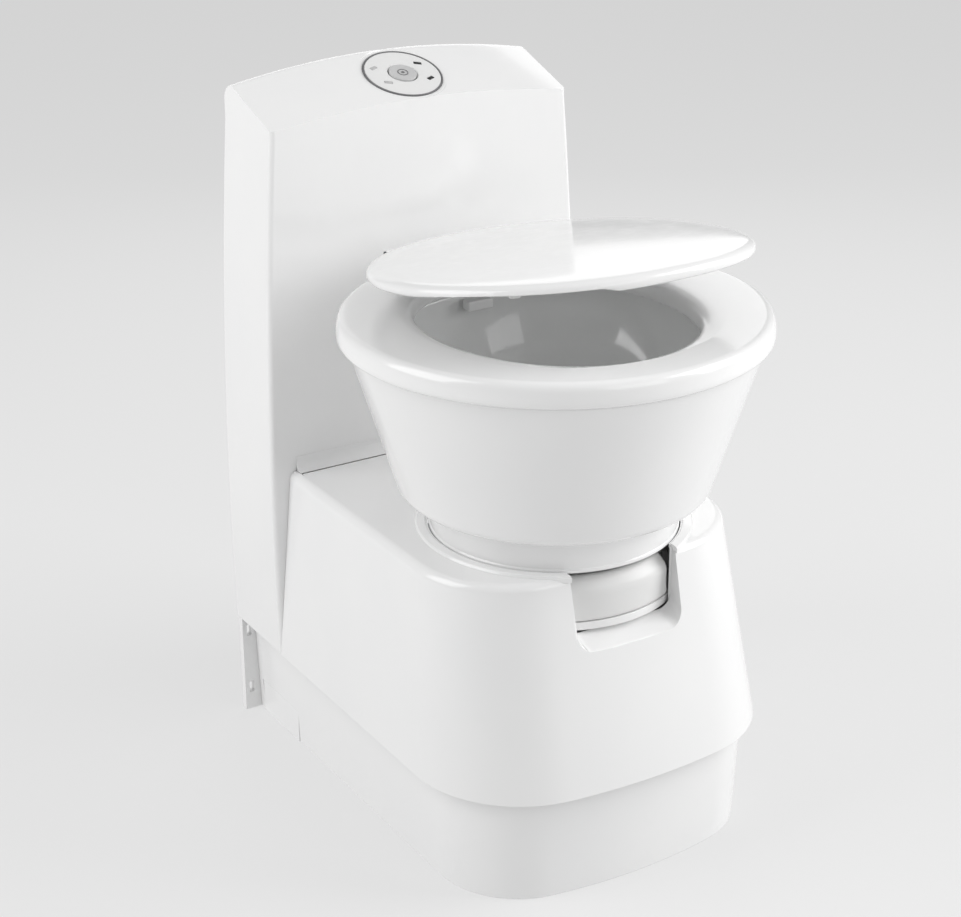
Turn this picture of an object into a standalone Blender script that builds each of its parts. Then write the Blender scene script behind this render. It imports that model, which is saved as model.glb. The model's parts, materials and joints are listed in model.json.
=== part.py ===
"""Swivel-bowl cassette toilet for a caravan, built as separate named pieces.

Frame: metres, +Z up, floor at z = 0, x = 0 is the plane of symmetry, the user
faces -Y, and the wall is at +Y.  The origin is the middle of the footprint.
"""
import math

import bmesh
import bpy
from mathutils import Matrix, Vector

# ---------------------------------------------------------------- dimensions
HEIGHT = 0.797          # floor to the crown of the console
REAR_Y = 0.3035         # plane of the wall behind the toilet
AXIS_Y = -0.078         # the upright axis that the bowl turns on
GAP = 0.0003            # clearance between touching pieces
SKIN = 0.003            # wall of the moulded covers

PLINTH_HALF = 0.184     # plinth at the floor
PLINTH_FRONT = -0.247
PLINTH_TOP = 0.150
PLINTH_DRAFT = 0.0055   # outward lean over the plinth's height
PLINTH_WALL = 0.004
FLOOR_TOP = 0.004

SEAM_Z = 0.127          # lower edge of both covers
COVER_HALF = 0.2066
COVER_FRONT = -0.2667
COVER_TOP = 0.354
COVER_TOP_HALF = 0.184
COVER_TOP_FRONT = -0.212
NECK_HOLE = 0.1365      # round hole in the cover's top
NOTCH_HALF = 0.0655     # half width of the lever notch
NOTCH_FLOOR_OUT = 0.260
NOTCH_FLOOR_IN = 0.2865

CONSOLE_TOP_HALF = 0.188
CONSOLE_FRONT_TOP = 0.190
CONSOLE_FRONT_LOW = 0.185
CONSOLE_CORNER_Z = 0.7465
CROWN_FRONT = 0.0148
CROWN_REAR = 0.018
CREST_Y = 0.284
TOP_FRONT_Z = CONSOLE_CORNER_Z + CROWN_FRONT
PANEL_FRONT = 0.2945    # front face of the rear panel

SEAT_X = 0.229          # half width of the seat
SEAT_Y = 0.2255         # half depth of the seat
SEAT_LOW = 0.568
SEAT_TOP = 0.594
HOLE_X = 0.142
HOLE_Y = 0.161
HINGE_Y = 0.134         # common axis of seat and lid
HINGE_Z = 0.6045
LID_TILT = math.radians(8.8)
LID_HALF = 0.192
LID_LENGTH = 0.386
LID_SETBACK = 0.016     # from the hinge to the lid's rear rim
LID_FULLNESS = 2.6      # power of the oval at the grip lip

TANK_HALF = 0.155       # holding tank
TANK_FRONT = -0.150
TANK_REAR = 0.285
TANK_LOW = 0.028
TANK_TOP = 0.200
TANK_WALL = 0.0035
OUTLET_R = 0.045        # bore of the bowl's outlet
WHEEL_R = 0.018
WHEEL_Y = -0.128
WHEEL_Z = FLOOR_TOP + GAP + WHEEL_R
AXLE_R = 0.004

SPOUT_X = -0.115        # upright axis of the pouring spout
SPOUT_Y = 0.235
SPOUT_Z = 0.2185        # middle of its tube
RAIL_X = 0.1592         # rails of the pull-out handle
RAIL_Z = 0.150
RAIL_R = 0.0032
GRIP_Y = 0.2915         # axis of the folding carry handle
GRIP_Z = 0.112

LEVER_OUT = 0.137       # lever's outer radius about the bowl's axis
LEVER_IN = 0.1185
LEVER_LOW = 0.297
LEVER_HIGH = 0.345
LEVER_HALF = math.radians(28.5)

PANEL_SLOPE = math.atan((HEIGHT - TOP_FRONT_Z) / (CREST_Y - CONSOLE_FRONT_TOP))
PANEL_Y = 0.2365        # centre of the control panel
PANEL_R = 0.0455
LAMPS = [("tank_full_lamp", 0.0270, 0.0150), ("water_low_lamp", 0.0270, -0.0165),
         ("power_lamp", -0.0285, 0.0165), ("flush_lamp", -0.0255, -0.0140)]
LEG_SLOTS = [(-0.196, 0.108), (0.196, 0.108), (-0.196, 0.030), (0.196, 0.030)]

# ---------------------------------------------------------------- scene setup
for old in list(bpy.data.objects):
    bpy.data.objects.remove(old)
parts = bpy.data.collections.new("cassette_toilet")
cutters = bpy.data.collections.new("cutters")
bpy.context.scene.collection.children.link(parts)
bpy.context.scene.collection.children.link(cutters)


def material(name, colour, roughness, metallic=0.0):
    """A Principled material with one colour."""
    made = bpy.data.materials.new(name)
    made.use_nodes = True
    shader = made.node_tree.nodes["Principled BSDF"]
    shader.inputs["Base Color"].default_value = (*colour, 1.0)
    shader.inputs["Roughness"].default_value = roughness
    shader.inputs["Metallic"].default_value = metallic
    return made


WHITE = material("white_gloss", (0.90, 0.90, 0.90), 0.18)
SEAT_WHITE = material("seat_white", (0.91, 0.91, 0.91), 0.22)
CERAMIC = material("ceramic", (0.88, 0.89, 0.89), 0.08)
LIGHT_GREY = material("light_grey", (0.62, 0.62, 0.61), 0.40)
MID_GREY = material("mid_grey", (0.42, 0.43, 0.44), 0.45)
PANEL_GREY = material("panel_grey", (0.72, 0.72, 0.71), 0.35)
BLACK = material("black_plastic", (0.03, 0.03, 0.035), 0.40)
RUBBER = material("rubber", (0.05, 0.05, 0.05), 0.70)
HOSE_GREY = material("hose_grey", (0.35, 0.36, 0.37), 0.55)
TANK_GREY = material("tank_grey", (0.55, 0.57, 0.60), 0.50)
STEEL = material("steel", (0.60, 0.60, 0.62), 0.30, 1.0)
GREEN = material("board_green", (0.05, 0.25, 0.12), 0.50)
CLEAR = material("water_tank", (0.80, 0.83, 0.85), 0.40)


# ---------------------------------------------------------------- shape tools
def place(name, mesh, finish, cutter=False):
    """Link a mesh as a named piece, or as a hidden cutter."""
    piece = bpy.data.objects.new(name, mesh)
    if cutter:
        piece.hide_render = True
        piece.display_type = "WIRE"
        cutters.objects.link(piece)
    else:
        mesh.materials.append(finish)
        parts.objects.link(piece)
    return piece


def finish_mesh(bm, name, smooth=True):
    """Turn a bmesh into a mesh with its faces outwards."""
    bmesh.ops.recalc_face_normals(bm, faces=bm.faces)
    mesh = bpy.data.meshes.new(name)
    bm.to_mesh(mesh)
    bm.free()
    if smooth:
        mesh.shade_smooth()
        mesh.set_sharp_from_angle(angle=math.radians(35))
    return mesh


def box(name, low, high, finish, cutter=False, bevel=0.0, segments=2):
    """A box between two corners, with optional rounded edges."""
    bm = bmesh.new()
    bmesh.ops.create_cube(bm, size=1.0)
    low = Vector(low)
    high = Vector(high)
    size = high - low
    bmesh.ops.scale(bm, vec=size, verts=bm.verts)
    bmesh.ops.translate(bm, vec=(low + high) / 2, verts=bm.verts)
    piece = place(name, finish_mesh(bm, name), finish, cutter)
    if bevel:
        soften(piece, bevel, segments)
    return piece


def soften(piece, width, segments=2):
    """Round the sharp edges of a piece."""
    mod = piece.modifiers.new("rounding", "BEVEL")
    mod.width = width
    mod.segments = segments
    mod.limit_method = "ANGLE"
    mod.angle_limit = math.radians(40)


def cylinder(name, radius, start, end, finish, cutter=False, sides=32):
    """A round bar from start to end."""
    start = Vector(start)
    end = Vector(end)
    bm = bmesh.new()
    along = end - start
    bmesh.ops.create_cone(bm, cap_ends=True, segments=sides, radius1=radius,
                          radius2=radius, depth=along.length)
    turn = along.to_track_quat("Z", "Y").to_matrix().to_4x4()
    bmesh.ops.transform(bm, matrix=Matrix.Translation((start + end) / 2) @ turn,
                        verts=bm.verts)
    return place(name, finish_mesh(bm, name), finish, cutter)


def turned(name, profile, finish, centre=(0.0, AXIS_Y), steps=40, cutter=False):
    """A closed profile of (radius, z) turned about an upright axis."""
    bm = bmesh.new()
    corners = [bm.verts.new((r, 0.0, z)) for r, z in profile]
    for i, corner in enumerate(corners):
        bm.edges.new((corner, corners[(i + 1) % len(corners)]))
    bmesh.ops.spin(bm, geom=bm.verts[:] + bm.edges[:], cent=(0, 0, 0), axis=(0, 0, 1),
                   angle=2 * math.pi, steps=steps, use_merge=True)
    bmesh.ops.remove_doubles(bm, verts=bm.verts, dist=1e-6)
    bmesh.ops.translate(bm, vec=(centre[0], centre[1], 0), verts=bm.verts)
    return place(name, finish_mesh(bm, name), finish, cutter)


def prism(name, outline, low, high, finish, axis="Z", cutter=False):
    """A flat outline pushed from low to high along one axis.

    The outline's pairs are (x, y) for axis Z, (y, z) for X and (x, z) for Y.
    """
    order = {"Z": lambda a, b, c: (a, b, c),
             "X": lambda a, b, c: (c, a, b),
             "Y": lambda a, b, c: (a, c, b)}[axis]
    bm = bmesh.new()
    face = bm.faces.new([bm.verts.new(order(a, b, low)) for a, b in outline])
    grown = bmesh.ops.extrude_face_region(bm, geom=[face])
    moved = [v for v in grown["geom"] if isinstance(v, bmesh.types.BMVert)]
    bmesh.ops.translate(bm, vec=order(0, 0, high - low), verts=moved)
    return place(name, finish_mesh(bm, name), finish, cutter)


def loft(name, levels, finish, cutter=False):
    """A solid skinned over closed rings with the same number of points."""
    bm = bmesh.new()
    rings = [[bm.verts.new(p) for p in level] for level in levels]
    count = len(rings[0])
    for lower, upper in zip(rings, rings[1:]):
        for i in range(count):
            j = (i + 1) % count
            bm.faces.new((lower[i], lower[j], upper[j], upper[i]))
    bm.faces.new(rings[0])
    bm.faces.new(rings[-1])
    return place(name, finish_mesh(bm, name), finish, cutter)


def combine(piece, other, operation):
    """Join or cut a piece with another solid."""
    mod = piece.modifiers.new(operation.lower(), "BOOLEAN")
    mod.operation = operation
    mod.solver = "EXACT"
    mod.object = other


def cut(piece, *tools):
    for tool in tools:
        combine(piece, tool, "DIFFERENCE")


def join(piece, *tools):
    for tool in tools:
        combine(piece, tool, "UNION")


def arc(centre, radius, start, end, steps):
    """Points along an arc, angles in radians."""
    return [(centre[0] + radius * math.cos(start + (end - start) * i / steps),
             centre[1] + radius * math.sin(start + (end - start) * i / steps))
            for i in range(steps + 1)]


def skirt(half, front, bow, corner, rear, corner_steps=8, front_steps=10):
    """Outline of the body seen from above: bowed front, round corners, open rear."""
    corner_x = half - corner
    corner_y = front + bow - math.sqrt((bow - corner) ** 2 - corner_x ** 2)
    lean = math.atan2(corner_x, front + bow - corner_y)
    right = arc((corner_x, corner_y), corner, 0.0, -(math.pi / 2 - lean), corner_steps)
    nose = [(bow * math.sin(lean * (1 - 2 * i / front_steps)),
             front + bow - bow * math.cos(lean * (1 - 2 * i / front_steps)))
            for i in range(1, front_steps)]
    left = [(-x, y) for x, y in reversed(right)]
    return [(half, rear)] + right + nose + left + [(-half, rear)]


def ring_at(outline, z):
    return [(x, y, z) for x, y in outline]


def sector(name, inner, outer, low, high, half_angle, finish, steps=12, cutter=False):
    """A curved block about the bowl's axis, centred on the front."""
    start = -math.pi / 2 - half_angle
    end = -math.pi / 2 + half_angle
    outline = arc((0, AXIS_Y), outer, start, end, steps)
    outline += arc((0, AXIS_Y), inner, end, start, steps)
    return prism(name, outline, low, high, finish, cutter=cutter)


# ---------------------------------------------------------------- plinth
def make_plinth():
    """The tray that is screwed to the floor and carries everything."""
    draft = PLINTH_DRAFT
    outer = [ring_at(skirt(PLINTH_HALF, PLINTH_FRONT, 0.57, 0.098,
                           PANEL_FRONT - GAP), 0.0),
             ring_at(skirt(PLINTH_HALF + draft, PLINTH_FRONT - draft, 0.57, 0.098,
                           PANEL_FRONT - GAP), PLINTH_TOP)]
    wall = PLINTH_WALL
    inner = [ring_at(skirt(PLINTH_HALF - wall, PLINTH_FRONT + wall, 0.566, 0.094,
                           PANEL_FRONT + 0.01), FLOOR_TOP),
             ring_at(skirt(PLINTH_HALF + draft - wall, PLINTH_FRONT - draft + wall,
                           0.566, 0.094, PANEL_FRONT + 0.01), PLINTH_TOP + 0.01)]
    plinth = loft("plinth", outer, WHITE)
    cut(plinth, loft("plinth_inside", inner, None, cutter=True))
    for side, word in ((1, "right"), (-1, "left")):
        x_low, x_high = sorted((side * 0.170, side * 0.195))
        window = box("fixing_window_" + word, (x_low, 0.1905, -0.01),
                     (x_high, 0.2850, 0.041), None, cutter=True)
        cut(plinth, window)
        lean = draft * 0.02 / PLINTH_TOP
        cover = box("fixing_cover_" + word,
                    (min(side * 0.1800, side * (PLINTH_HALF + lean)), 0.1910, 0.0),
                    (max(side * 0.1800, side * (PLINTH_HALF + lean)), 0.2845, 0.0405),
                    WHITE)
    return plinth


# ---------------------------------------------------------------- lower cover
def cover_level(z, inset=0.0, past=0.0):
    """One ring of the lower cover, leaning in towards the top."""
    t = (z - SEAM_Z) / (COVER_TOP - SEAM_Z)
    half = COVER_HALF + (COVER_TOP_HALF - COVER_HALF) * t - inset
    front = COVER_FRONT + (COVER_TOP_FRONT - COVER_FRONT) * t + inset
    rear = CONSOLE_FRONT_LOW - GAP
    rear += (CONSOLE_FRONT_TOP - CONSOLE_FRONT_LOW) * (z - SEAM_Z) / 0.62
    corner = 0.128 - 0.018 * t - inset
    return ring_at(skirt(half, front, 0.68, corner, rear + past), z)


def make_cover():
    outer = [cover_level(SEAM_Z), cover_level(0.24), cover_level(COVER_TOP - 0.008)]
    crown = cover_level(COVER_TOP - 0.0025, inset=0.0022)
    lid_ring = cover_level(COVER_TOP, inset=0.008)
    cover = loft("base_cover", outer + [crown, lid_ring], WHITE)
    hollow = [[(x, y, z - 0.02) for x, y, z in cover_level(SEAM_Z, SKIN, 0.02)],
              cover_level(0.24, SKIN, 0.02),
              [(x, y, z - SKIN) for x, y, z in cover_level(COVER_TOP - 0.006, SKIN, 0.02)],
              [(x, y, z - SKIN) for x, y, z in cover_level(COVER_TOP, 0.010, 0.02)]]
    inside = loft("cover_inside", hollow, None, cutter=True)
    pocket = prism("notch_pocket", [(-0.30, 0.37), (-0.30, 0.2436), (-0.2060, 0.2825),
                                    (-0.2035, 0.2825), (-0.2035, 0.37)],
                   -NOTCH_HALF - 0.004, NOTCH_HALF + 0.004, None, axis="X", cutter=True)
    cut(inside, pocket)
    slope = (NOTCH_FLOOR_IN - NOTCH_FLOOR_OUT) / 0.0665
    notch = notch_tool(slope)
    neck = cylinder("neck_hole", NECK_HOLE, (0, AXIS_Y, 0.30), (0, AXIS_Y, 0.40), None,
                    cutter=True, sides=48)
    cut(cover, inside, notch, neck)
    fillet = [(0.1680, 0.3530)]
    fillet += arc((0.1680, 0.3720), 0.0180, -math.pi / 2, 0.0, 5)
    fillet += [(0.1864, 0.3720), (0.1864, 0.3530)]
    bead = prism("rear_fillet", fillet, -0.176, 0.176, None, axis="X", cutter=True)
    join(cover, bead)
    return cover


def notch_tool(slope):
    """Cutter for the lever notch: round lower corners and a floor that falls forward."""
    radius = 0.012
    section = [(-NOTCH_HALF, 0.40)]
    section += arc((-NOTCH_HALF + radius, NOTCH_FLOOR_OUT + radius), radius,
                   math.pi, 1.5 * math.pi, 4)
    section += arc((NOTCH_HALF - radius, NOTCH_FLOOR_OUT + radius), radius,
                   1.5 * math.pi, 2 * math.pi, 4)
    section += [(NOTCH_HALF, 0.40)]
    front_y = -0.270
    back_y = -0.19
    rise = slope * (back_y - front_y)
    far = slope * 0.05
    levels = [[(x, front_y - 0.05, z - (far if z < 0.39 else 0)) for x, z in section],
              [(x, back_y, z + (rise if z < 0.39 else 0)) for x, z in section]]
    return loft("lever_notch", levels, None, cutter=True)


# ---------------------------------------------------------------- console
def console_half(z, inset=0.0):
    """Half width of the console, whose sides are slightly bowed."""
    s = CONSOLE_CORNER_Z - z
    return CONSOLE_TOP_HALF + 0.083 * s - 0.0874 * s * s - inset


def console_solid(name, inset, low_z, rear_y, finish, cutter):
    """The console's outer form, or its inside when inset by the wall."""
    heights = [low_z, 0.28, 0.44, 0.60]
    stations = [-1.0, -0.92, -0.7, -0.45, -0.2, 0.0, 0.2, 0.45, 0.7, 0.92, 1.0]
    bm = bmesh.new()
    columns = []
    for u in stations:
        crown_front = TOP_FRONT_Z - CROWN_FRONT * u * u - inset
        crest = HEIGHT - CROWN_REAR * u * u - inset
        front = [(CONSOLE_FRONT_LOW + (CONSOLE_FRONT_TOP - CONSOLE_FRONT_LOW)
                  * (z - SEAM_Z) / 0.62 + inset, z) for z in heights]
        front.append((CONSOLE_FRONT_TOP + inset, crown_front))
        rear = [(rear_y, z) for z in heights]
        roll = 0.014
        top = [(0.237, crown_front + (crest - crown_front) * 0.5), (CREST_Y, crest),
               (rear_y - roll * 0.29, crest - roll * 0.45)]
        rear.append((rear_y, crest - roll * 1.4))
        column = [bm.verts.new((u * console_half(min(z, 0.7465), inset), y, z))
                  for y, z in front + top + list(reversed(rear))]
        columns.append(column)
    count = len(columns[0])
    for left, right in zip(columns, columns[1:]):
        for i in range(count):
            j = (i + 1) % count
            bm.faces.new((left[i], left[j], right[j], right[i]))
    steps = len(heights)
    for column in (columns[0], columns[-1]):
        for k in range(steps - 1):
            bm.faces.new((column[k], column[k + 1], column[-2 - k], column[-1 - k]))
        bm.faces.new(column[steps - 1:count - steps + 1])
    return place(name, finish_mesh(bm, name), finish, cutter)


def make_console():
    console = console_solid("console_shell", 0.0, SEAM_Z, REAR_Y, WHITE, False)
    soften(console, 0.006, 2)
    inside = console_solid("console_inside", SKIN, SEAM_Z - 0.05, REAR_Y - 0.006, None,
                           True)
    opening = box("console_back", (-0.178, 0.28, SEAM_Z - 0.05), (0.178, 0.33, 0.755),
                  None, cutter=True)
    passage = box("tank_passage", (-0.178, 0.17, SEAM_Z - 0.05), (0.178, 0.2, 0.262),
                  None, cutter=True)
    skirting = box("plinth_passage", (-0.193, 0.17, SEAM_Z - 0.05), (0.193, 0.2, 0.153),
                   None, cutter=True)
    well = cylinder("panel_well", PANEL_R + 0.0005, panel_point(0, 0, -0.03),
                    panel_point(0, 0, 0.03), None, cutter=True, sides=48)
    cut(console, inside, opening, passage, skirting, well)
    return console


def panel_point(x, along, up):
    """A point on the control panel: along climbs the slope, up leaves its face."""
    centre_z = TOP_FRONT_Z + (PANEL_Y - CONSOLE_FRONT_TOP) * math.tan(PANEL_SLOPE)
    return (x,
            PANEL_Y + along * math.cos(PANEL_SLOPE) - up * math.sin(PANEL_SLOPE),
            centre_z + along * math.sin(PANEL_SLOPE) + up * math.cos(PANEL_SLOPE))


def panel_disc(name, radius, low, high, finish, x=0.0, along=0.0, sides=32, cutter=False):
    return cylinder(name, radius, panel_point(x, along, low), panel_point(x, along, high),
                    finish, cutter=cutter, sides=sides)


def make_rear_panel():
    """The wall frame: legs beside the tank's way out, and the console's back."""
    leg = 0.205
    outline = [(-leg, 0.0), (-0.168, 0.0), (-0.168, 0.2400), (0.168, 0.2400),
               (0.168, 0.0), (leg, 0.0), (leg, SEAM_Z - 0.0010), (0.1770, SEAM_Z - 0.0010),
               (0.1770, 0.7540), (-0.1770, 0.7540), (-0.1770, SEAM_Z - 0.0010),
               (-leg, SEAM_Z - 0.0010)]
    panel = prism("rear_panel", outline, PANEL_FRONT, REAR_Y, WHITE, axis="Y")
    filler = cylinder("filler_window", 0.034, (0.105, 0.28, 0.60), (0.105, 0.32, 0.60),
                      None, cutter=True, sides=40)
    cut(panel, filler)
    for i, (x, z) in enumerate(LEG_SLOTS):
        cut(panel, box("slot_%d" % i, (x - 0.003, 0.28, z - 0.007),
                       (x + 0.003, 0.32, z + 0.007), None, cutter=True))
    return panel


# ---------------------------------------------------------------- water system
def make_water_tank():
    """Flush water tank inside the console, filled through its neck at the back."""
    tank = box("flush_water_tank", (-0.165, 0.205, 0.300), (0.165, 0.285, 0.660), CLEAR,
               bevel=0.008, segments=1)
    inside = box("water_space", (-0.162, 0.208, 0.303), (0.162, 0.282, 0.657), None,
                 cutter=True, bevel=0.006, segments=1)
    neck = cylinder("filler_neck", 0.026, (0.105, 0.28, 0.60), (0.105, 0.2930, 0.60), None,
                    cutter=True, sides=32)
    bore = cylinder("filler_bore", 0.022, (0.105, 0.25, 0.60), (0.105, 0.31, 0.60), None,
                    cutter=True, sides=32)
    stub = cylinder("tank_outlet", 0.008, (0.06, 0.245, 0.2960), (0.06, 0.245, 0.302), None,
                    cutter=True, sides=16)
    bore_low = cylinder("tank_outlet_bore", 0.005, (0.06, 0.245, 0.29),
                        (0.06, 0.245, 0.31), None, cutter=True, sides=16)
    join(tank, neck, stub)
    cut(tank, inside, bore, bore_low)
    cap = cylinder("water_filler_cap", 0.030, (0.105, 0.2935, 0.60), (0.105, 0.2985, 0.60),
                   WHITE, sides=32)
    grip = box("cap_grip", (0.080, 0.2975, 0.597), (0.130, 0.3030, 0.603), None,
               cutter=True)
    join(cap, grip)
    pump = cylinder("water_pump", 0.019, (0.06, 0.245, 0.2450), (0.06, 0.245, 0.2955),
                    BLACK, sides=24)
    outlet = cylinder("pump_outlet", 0.006, (0.06, 0.232, 0.2550), (0.06, 0.2, 0.2550),
                      None, cutter=True, sides=12)
    join(pump, outlet)


def make_hose():
    """Hose from the pump to the union under the bowl."""
    points = [(0.06, 0.1997, 0.2550), (0.06, 0.160, 0.2560), (0.058, 0.130, 0.262),
              (0.050, 0.105, 0.280), (0.040, 0.085, 0.300), (0.030, 0.072, 0.315),
              (0.020, 0.064, 0.322), (0.0, 0.0600, 0.3240)]
    curve = bpy.data.curves.new("hose_path", "CURVE")
    curve.dimensions = "3D"
    curve.bevel_depth = 0.0055
    curve.bevel_resolution = 2
    curve.use_fill_caps = True
    spline = curve.splines.new("POLY")
    spline.points.add(len(points) - 1)
    for point, place_at in zip(spline.points, points):
        point.co = (*place_at, 1.0)
    hose = bpy.data.objects.new("flush_hose", curve)
    curve.materials.append(HOSE_GREY)
    parts.objects.link(hose)
    box("hose_union", (-0.020, 0.0412, 0.314), (-0.0060, 0.0700, 0.334), MID_GREY, bevel=0.003)


# ---------------------------------------------------------------- control panel
def make_controls():
    bezel_outer = panel_disc("control_bezel", PANEL_R, -0.0025, 0.0012, MID_GREY, sides=36)
    cut(bezel_outer, panel_disc("bezel_bore", PANEL_R - 0.0018, -0.01, 0.01, None,
                                sides=48, cutter=True))
    disc = panel_disc("control_panel", PANEL_R - 0.0021, -0.0030, 0.0004, PANEL_GREY,
                      sides=36)
    cut(disc, panel_disc("button_bore", 0.0165, -0.01, 0.01, None, sides=24, cutter=True))
    for i, (word, x, along) in enumerate(LAMPS):
        cut(disc, panel_disc("lamp_bore_%d" % i, 0.0036, -0.01, 0.01, None, x=x,
                             along=along, sides=10, cutter=True))
        panel_disc(word, 0.0033, -0.0026, 0.0006, BLACK, x=x, along=along, sides=10)
    panel_disc("flush_button", 0.0162, -0.0010, 0.0011, LIGHT_GREY, sides=24)
    board = box("control_board", (-0.030, -0.030, -0.0008), (0.030, 0.030, 0.0008), GREEN)
    board.matrix_world = (Matrix.Translation(panel_point(0, 0, -0.0075))
                          @ Matrix.Rotation(PANEL_SLOPE, 4, "X"))
    panel_disc("button_spring", 0.0060, -0.0062, -0.0034, STEEL, sides=10)


# ---------------------------------------------------------------- bowl carrier
def make_carrier():
    """Bridge over the waste tank that carries the bowl's bearing."""
    bridge_low = 0.238
    bridge_top = 0.244
    leg_out = 0.1725
    leg_in = 0.1665
    outline = [(-leg_out, FLOOR_TOP + GAP), (-leg_in, FLOOR_TOP + GAP),
               (-leg_in, bridge_low), (leg_in, bridge_low), (leg_in, FLOOR_TOP + GAP),
               (leg_out, FLOOR_TOP + GAP), (leg_out, bridge_top), (-leg_out, bridge_top)]
    bridge = prism("bowl_carrier", outline, -0.150, 0.020, LIGHT_GREY, axis="Y")
    tube = cylinder("carrier_tube", 0.1030, (0, AXIS_Y, 0.2415), (0, AXIS_Y, 0.3545), None,
                    cutter=True, sides=36)
    bore = cylinder("carrier_bore", 0.0980, (0, AXIS_Y, 0.2), (0, AXIS_Y, 0.4), None,
                    cutter=True, sides=36)
    join(bridge, tube)
    cut(bridge, bore)
    turned("swivel_bearing", [(0.0950, 0.3548), (0.1120, 0.3548), (0.1120, 0.3604),
                              (0.0950, 0.3604)], BLACK, steps=32)


# ---------------------------------------------------------------- bowl
def make_bowl():
    shell = [(0.0560, 0.3608), (0.1285, 0.3608), (0.1285, 0.3530), (0.1330, 0.3530),
             (0.1345, 0.3895), (0.1318, 0.3905),
             (0.1318, 0.3930), (0.1500, 0.3945), (0.1590, 0.3957), (0.1650, 0.3992),
             (0.1692, 0.4070), (0.2177, 0.5640), (0.2125, 0.5640), (0.2125, 0.5595),
             (0.1900, 0.5595), (0.1900, 0.5555),
             (0.2112, 0.5555), (0.1655, 0.4085), (0.1622, 0.4022), (0.1575, 0.3994),
             (0.1490, 0.3985), (0.1270, 0.3968), (0.1270, 0.3660), (0.0560, 0.3660)]
    turned("bowl_shell", shell, WHITE)
    inlay = [(0.0450, 0.3933), (0.0490, 0.3933), (0.0530, 0.4020),
             (0.0660, 0.4120), (0.0940, 0.4270), (0.1245, 0.4510), (0.1500, 0.4870),
             (0.1655, 0.5280), (0.1735, 0.5598), (0.2120, 0.5598), (0.2120, 0.5655),
             (0.1680, 0.5655), (0.1608, 0.5300), (0.1455, 0.4900), (0.1205, 0.4550),
             (0.0910, 0.4320), (0.0630, 0.4175), (0.0490, 0.4060), (0.0450, 0.3975)]
    turned("bowl_inlay", inlay, CERAMIC)
    turned("outlet_pipe", [(0.0450, 0.2320), (0.0490, 0.2320), (0.0490, 0.3930),
                           (0.0450, 0.3930)], LIGHT_GREY, steps=36)
    turned("outlet_seal", [(0.0493, 0.3614), (0.0556, 0.3614), (0.0556, 0.3654),
                           (0.0493, 0.3654)], RUBBER, steps=36)
    box("flush_nozzle", (-0.016, 0.0700, 0.5480), (0.016, 0.0845, 0.5595), WHITE,
        bevel=0.002)


# ---------------------------------------------------------------- seat and lid
def ellipse(half_x, half_y, centre_y, z, count=40):
    return [(half_x * math.sin(2 * math.pi * i / count),
             centre_y - half_y * math.cos(2 * math.pi * i / count), z)
            for i in range(count)]


def make_seat():
    """Ring-shaped seat: a loft round the outside and back down through the hole."""
    low = SEAT_LOW
    top = SEAT_TOP
    levels = [ellipse(HOLE_X + 0.006, HOLE_Y + 0.006, AXIS_Y, low),
              ellipse(SEAT_X - 0.004, SEAT_Y - 0.004, AXIS_Y, low),
              ellipse(SEAT_X, SEAT_Y, AXIS_Y, low + 0.006),
              ellipse(SEAT_X - 0.001, SEAT_Y - 0.001, AXIS_Y, low + 0.016),
              ellipse(SEAT_X - 0.006, SEAT_Y - 0.006, AXIS_Y, top - 0.0035),
              ellipse(SEAT_X - 0.016, SEAT_Y - 0.016, AXIS_Y, top),
              ellipse(HOLE_X + 0.022, HOLE_Y + 0.022, AXIS_Y, top - 0.002),
              ellipse(HOLE_X + 0.006, HOLE_Y + 0.006, AXIS_Y, top - 0.007),
              ellipse(HOLE_X, HOLE_Y, AXIS_Y, top - 0.015)]
    bm = bmesh.new()
    rings = [[bm.verts.new(p) for p in level] for level in levels]
    for lower, upper in zip(rings, rings[1:] + rings[:1]):
        for i in range(len(lower)):
            j = (i + 1) % len(lower)
            bm.faces.new((lower[i], lower[j], upper[j], upper[i]))
    seat = place("seat", finish_mesh(bm, "seat"), SEAT_WHITE)
    cut(seat, box("hinge_gap", (-0.0560, 0.1200, 0.55), (0.0560, 0.17, 0.62), None,
                  cutter=True))
    for side in (1, -1):
        low_x, high_x = sorted((side * 0.0575, side * 0.0695))
        lug = box("seat_lug_%d" % side, (low_x, 0.1250, 0.5850), (high_x, 0.1430, HINGE_Z),
                  None, cutter=True)
        barrel = cylinder("seat_barrel_%d" % side, 0.0080, (low_x, HINGE_Y, HINGE_Z),
                          (high_x, HINGE_Y, HINGE_Z), None, cutter=True, sides=16)
        join(seat, lug, barrel)
    cut(seat, cylinder("seat_pin_hole", 0.0033, (-0.1, HINGE_Y, HINGE_Z),
                       (0.1, HINGE_Y, HINGE_Z), None, cutter=True, sides=16))
    return seat


def tilt(points):
    """Turn points given for a closed lid up to its part-open rest position."""
    turn = Matrix.Rotation(-LID_TILT, 4, "X")
    hinge = Vector((0, HINGE_Y, HINGE_Z))
    return [tuple(turn @ (Vector(p) - hinge) + hinge) for p in points]


def lid_ring(inset, z, count=40):
    """An oval ring that is fuller at its front right, where the grip lip is."""
    middle = HINGE_Y - LID_SETBACK - LID_LENGTH / 2
    ring = []
    for i in range(count):
        across = math.sin(2 * math.pi * i / count)
        ahead = math.cos(2 * math.pi * i / count)
        power = LID_FULLNESS if across > 0 and ahead > 0 else 2.0
        reach = (abs(across) ** power + abs(ahead) ** power) ** (-1 / power)
        ring.append((reach * across * (LID_HALF - inset),
                     middle - reach * ahead * (LID_LENGTH / 2 - inset), z))
    return ring


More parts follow.
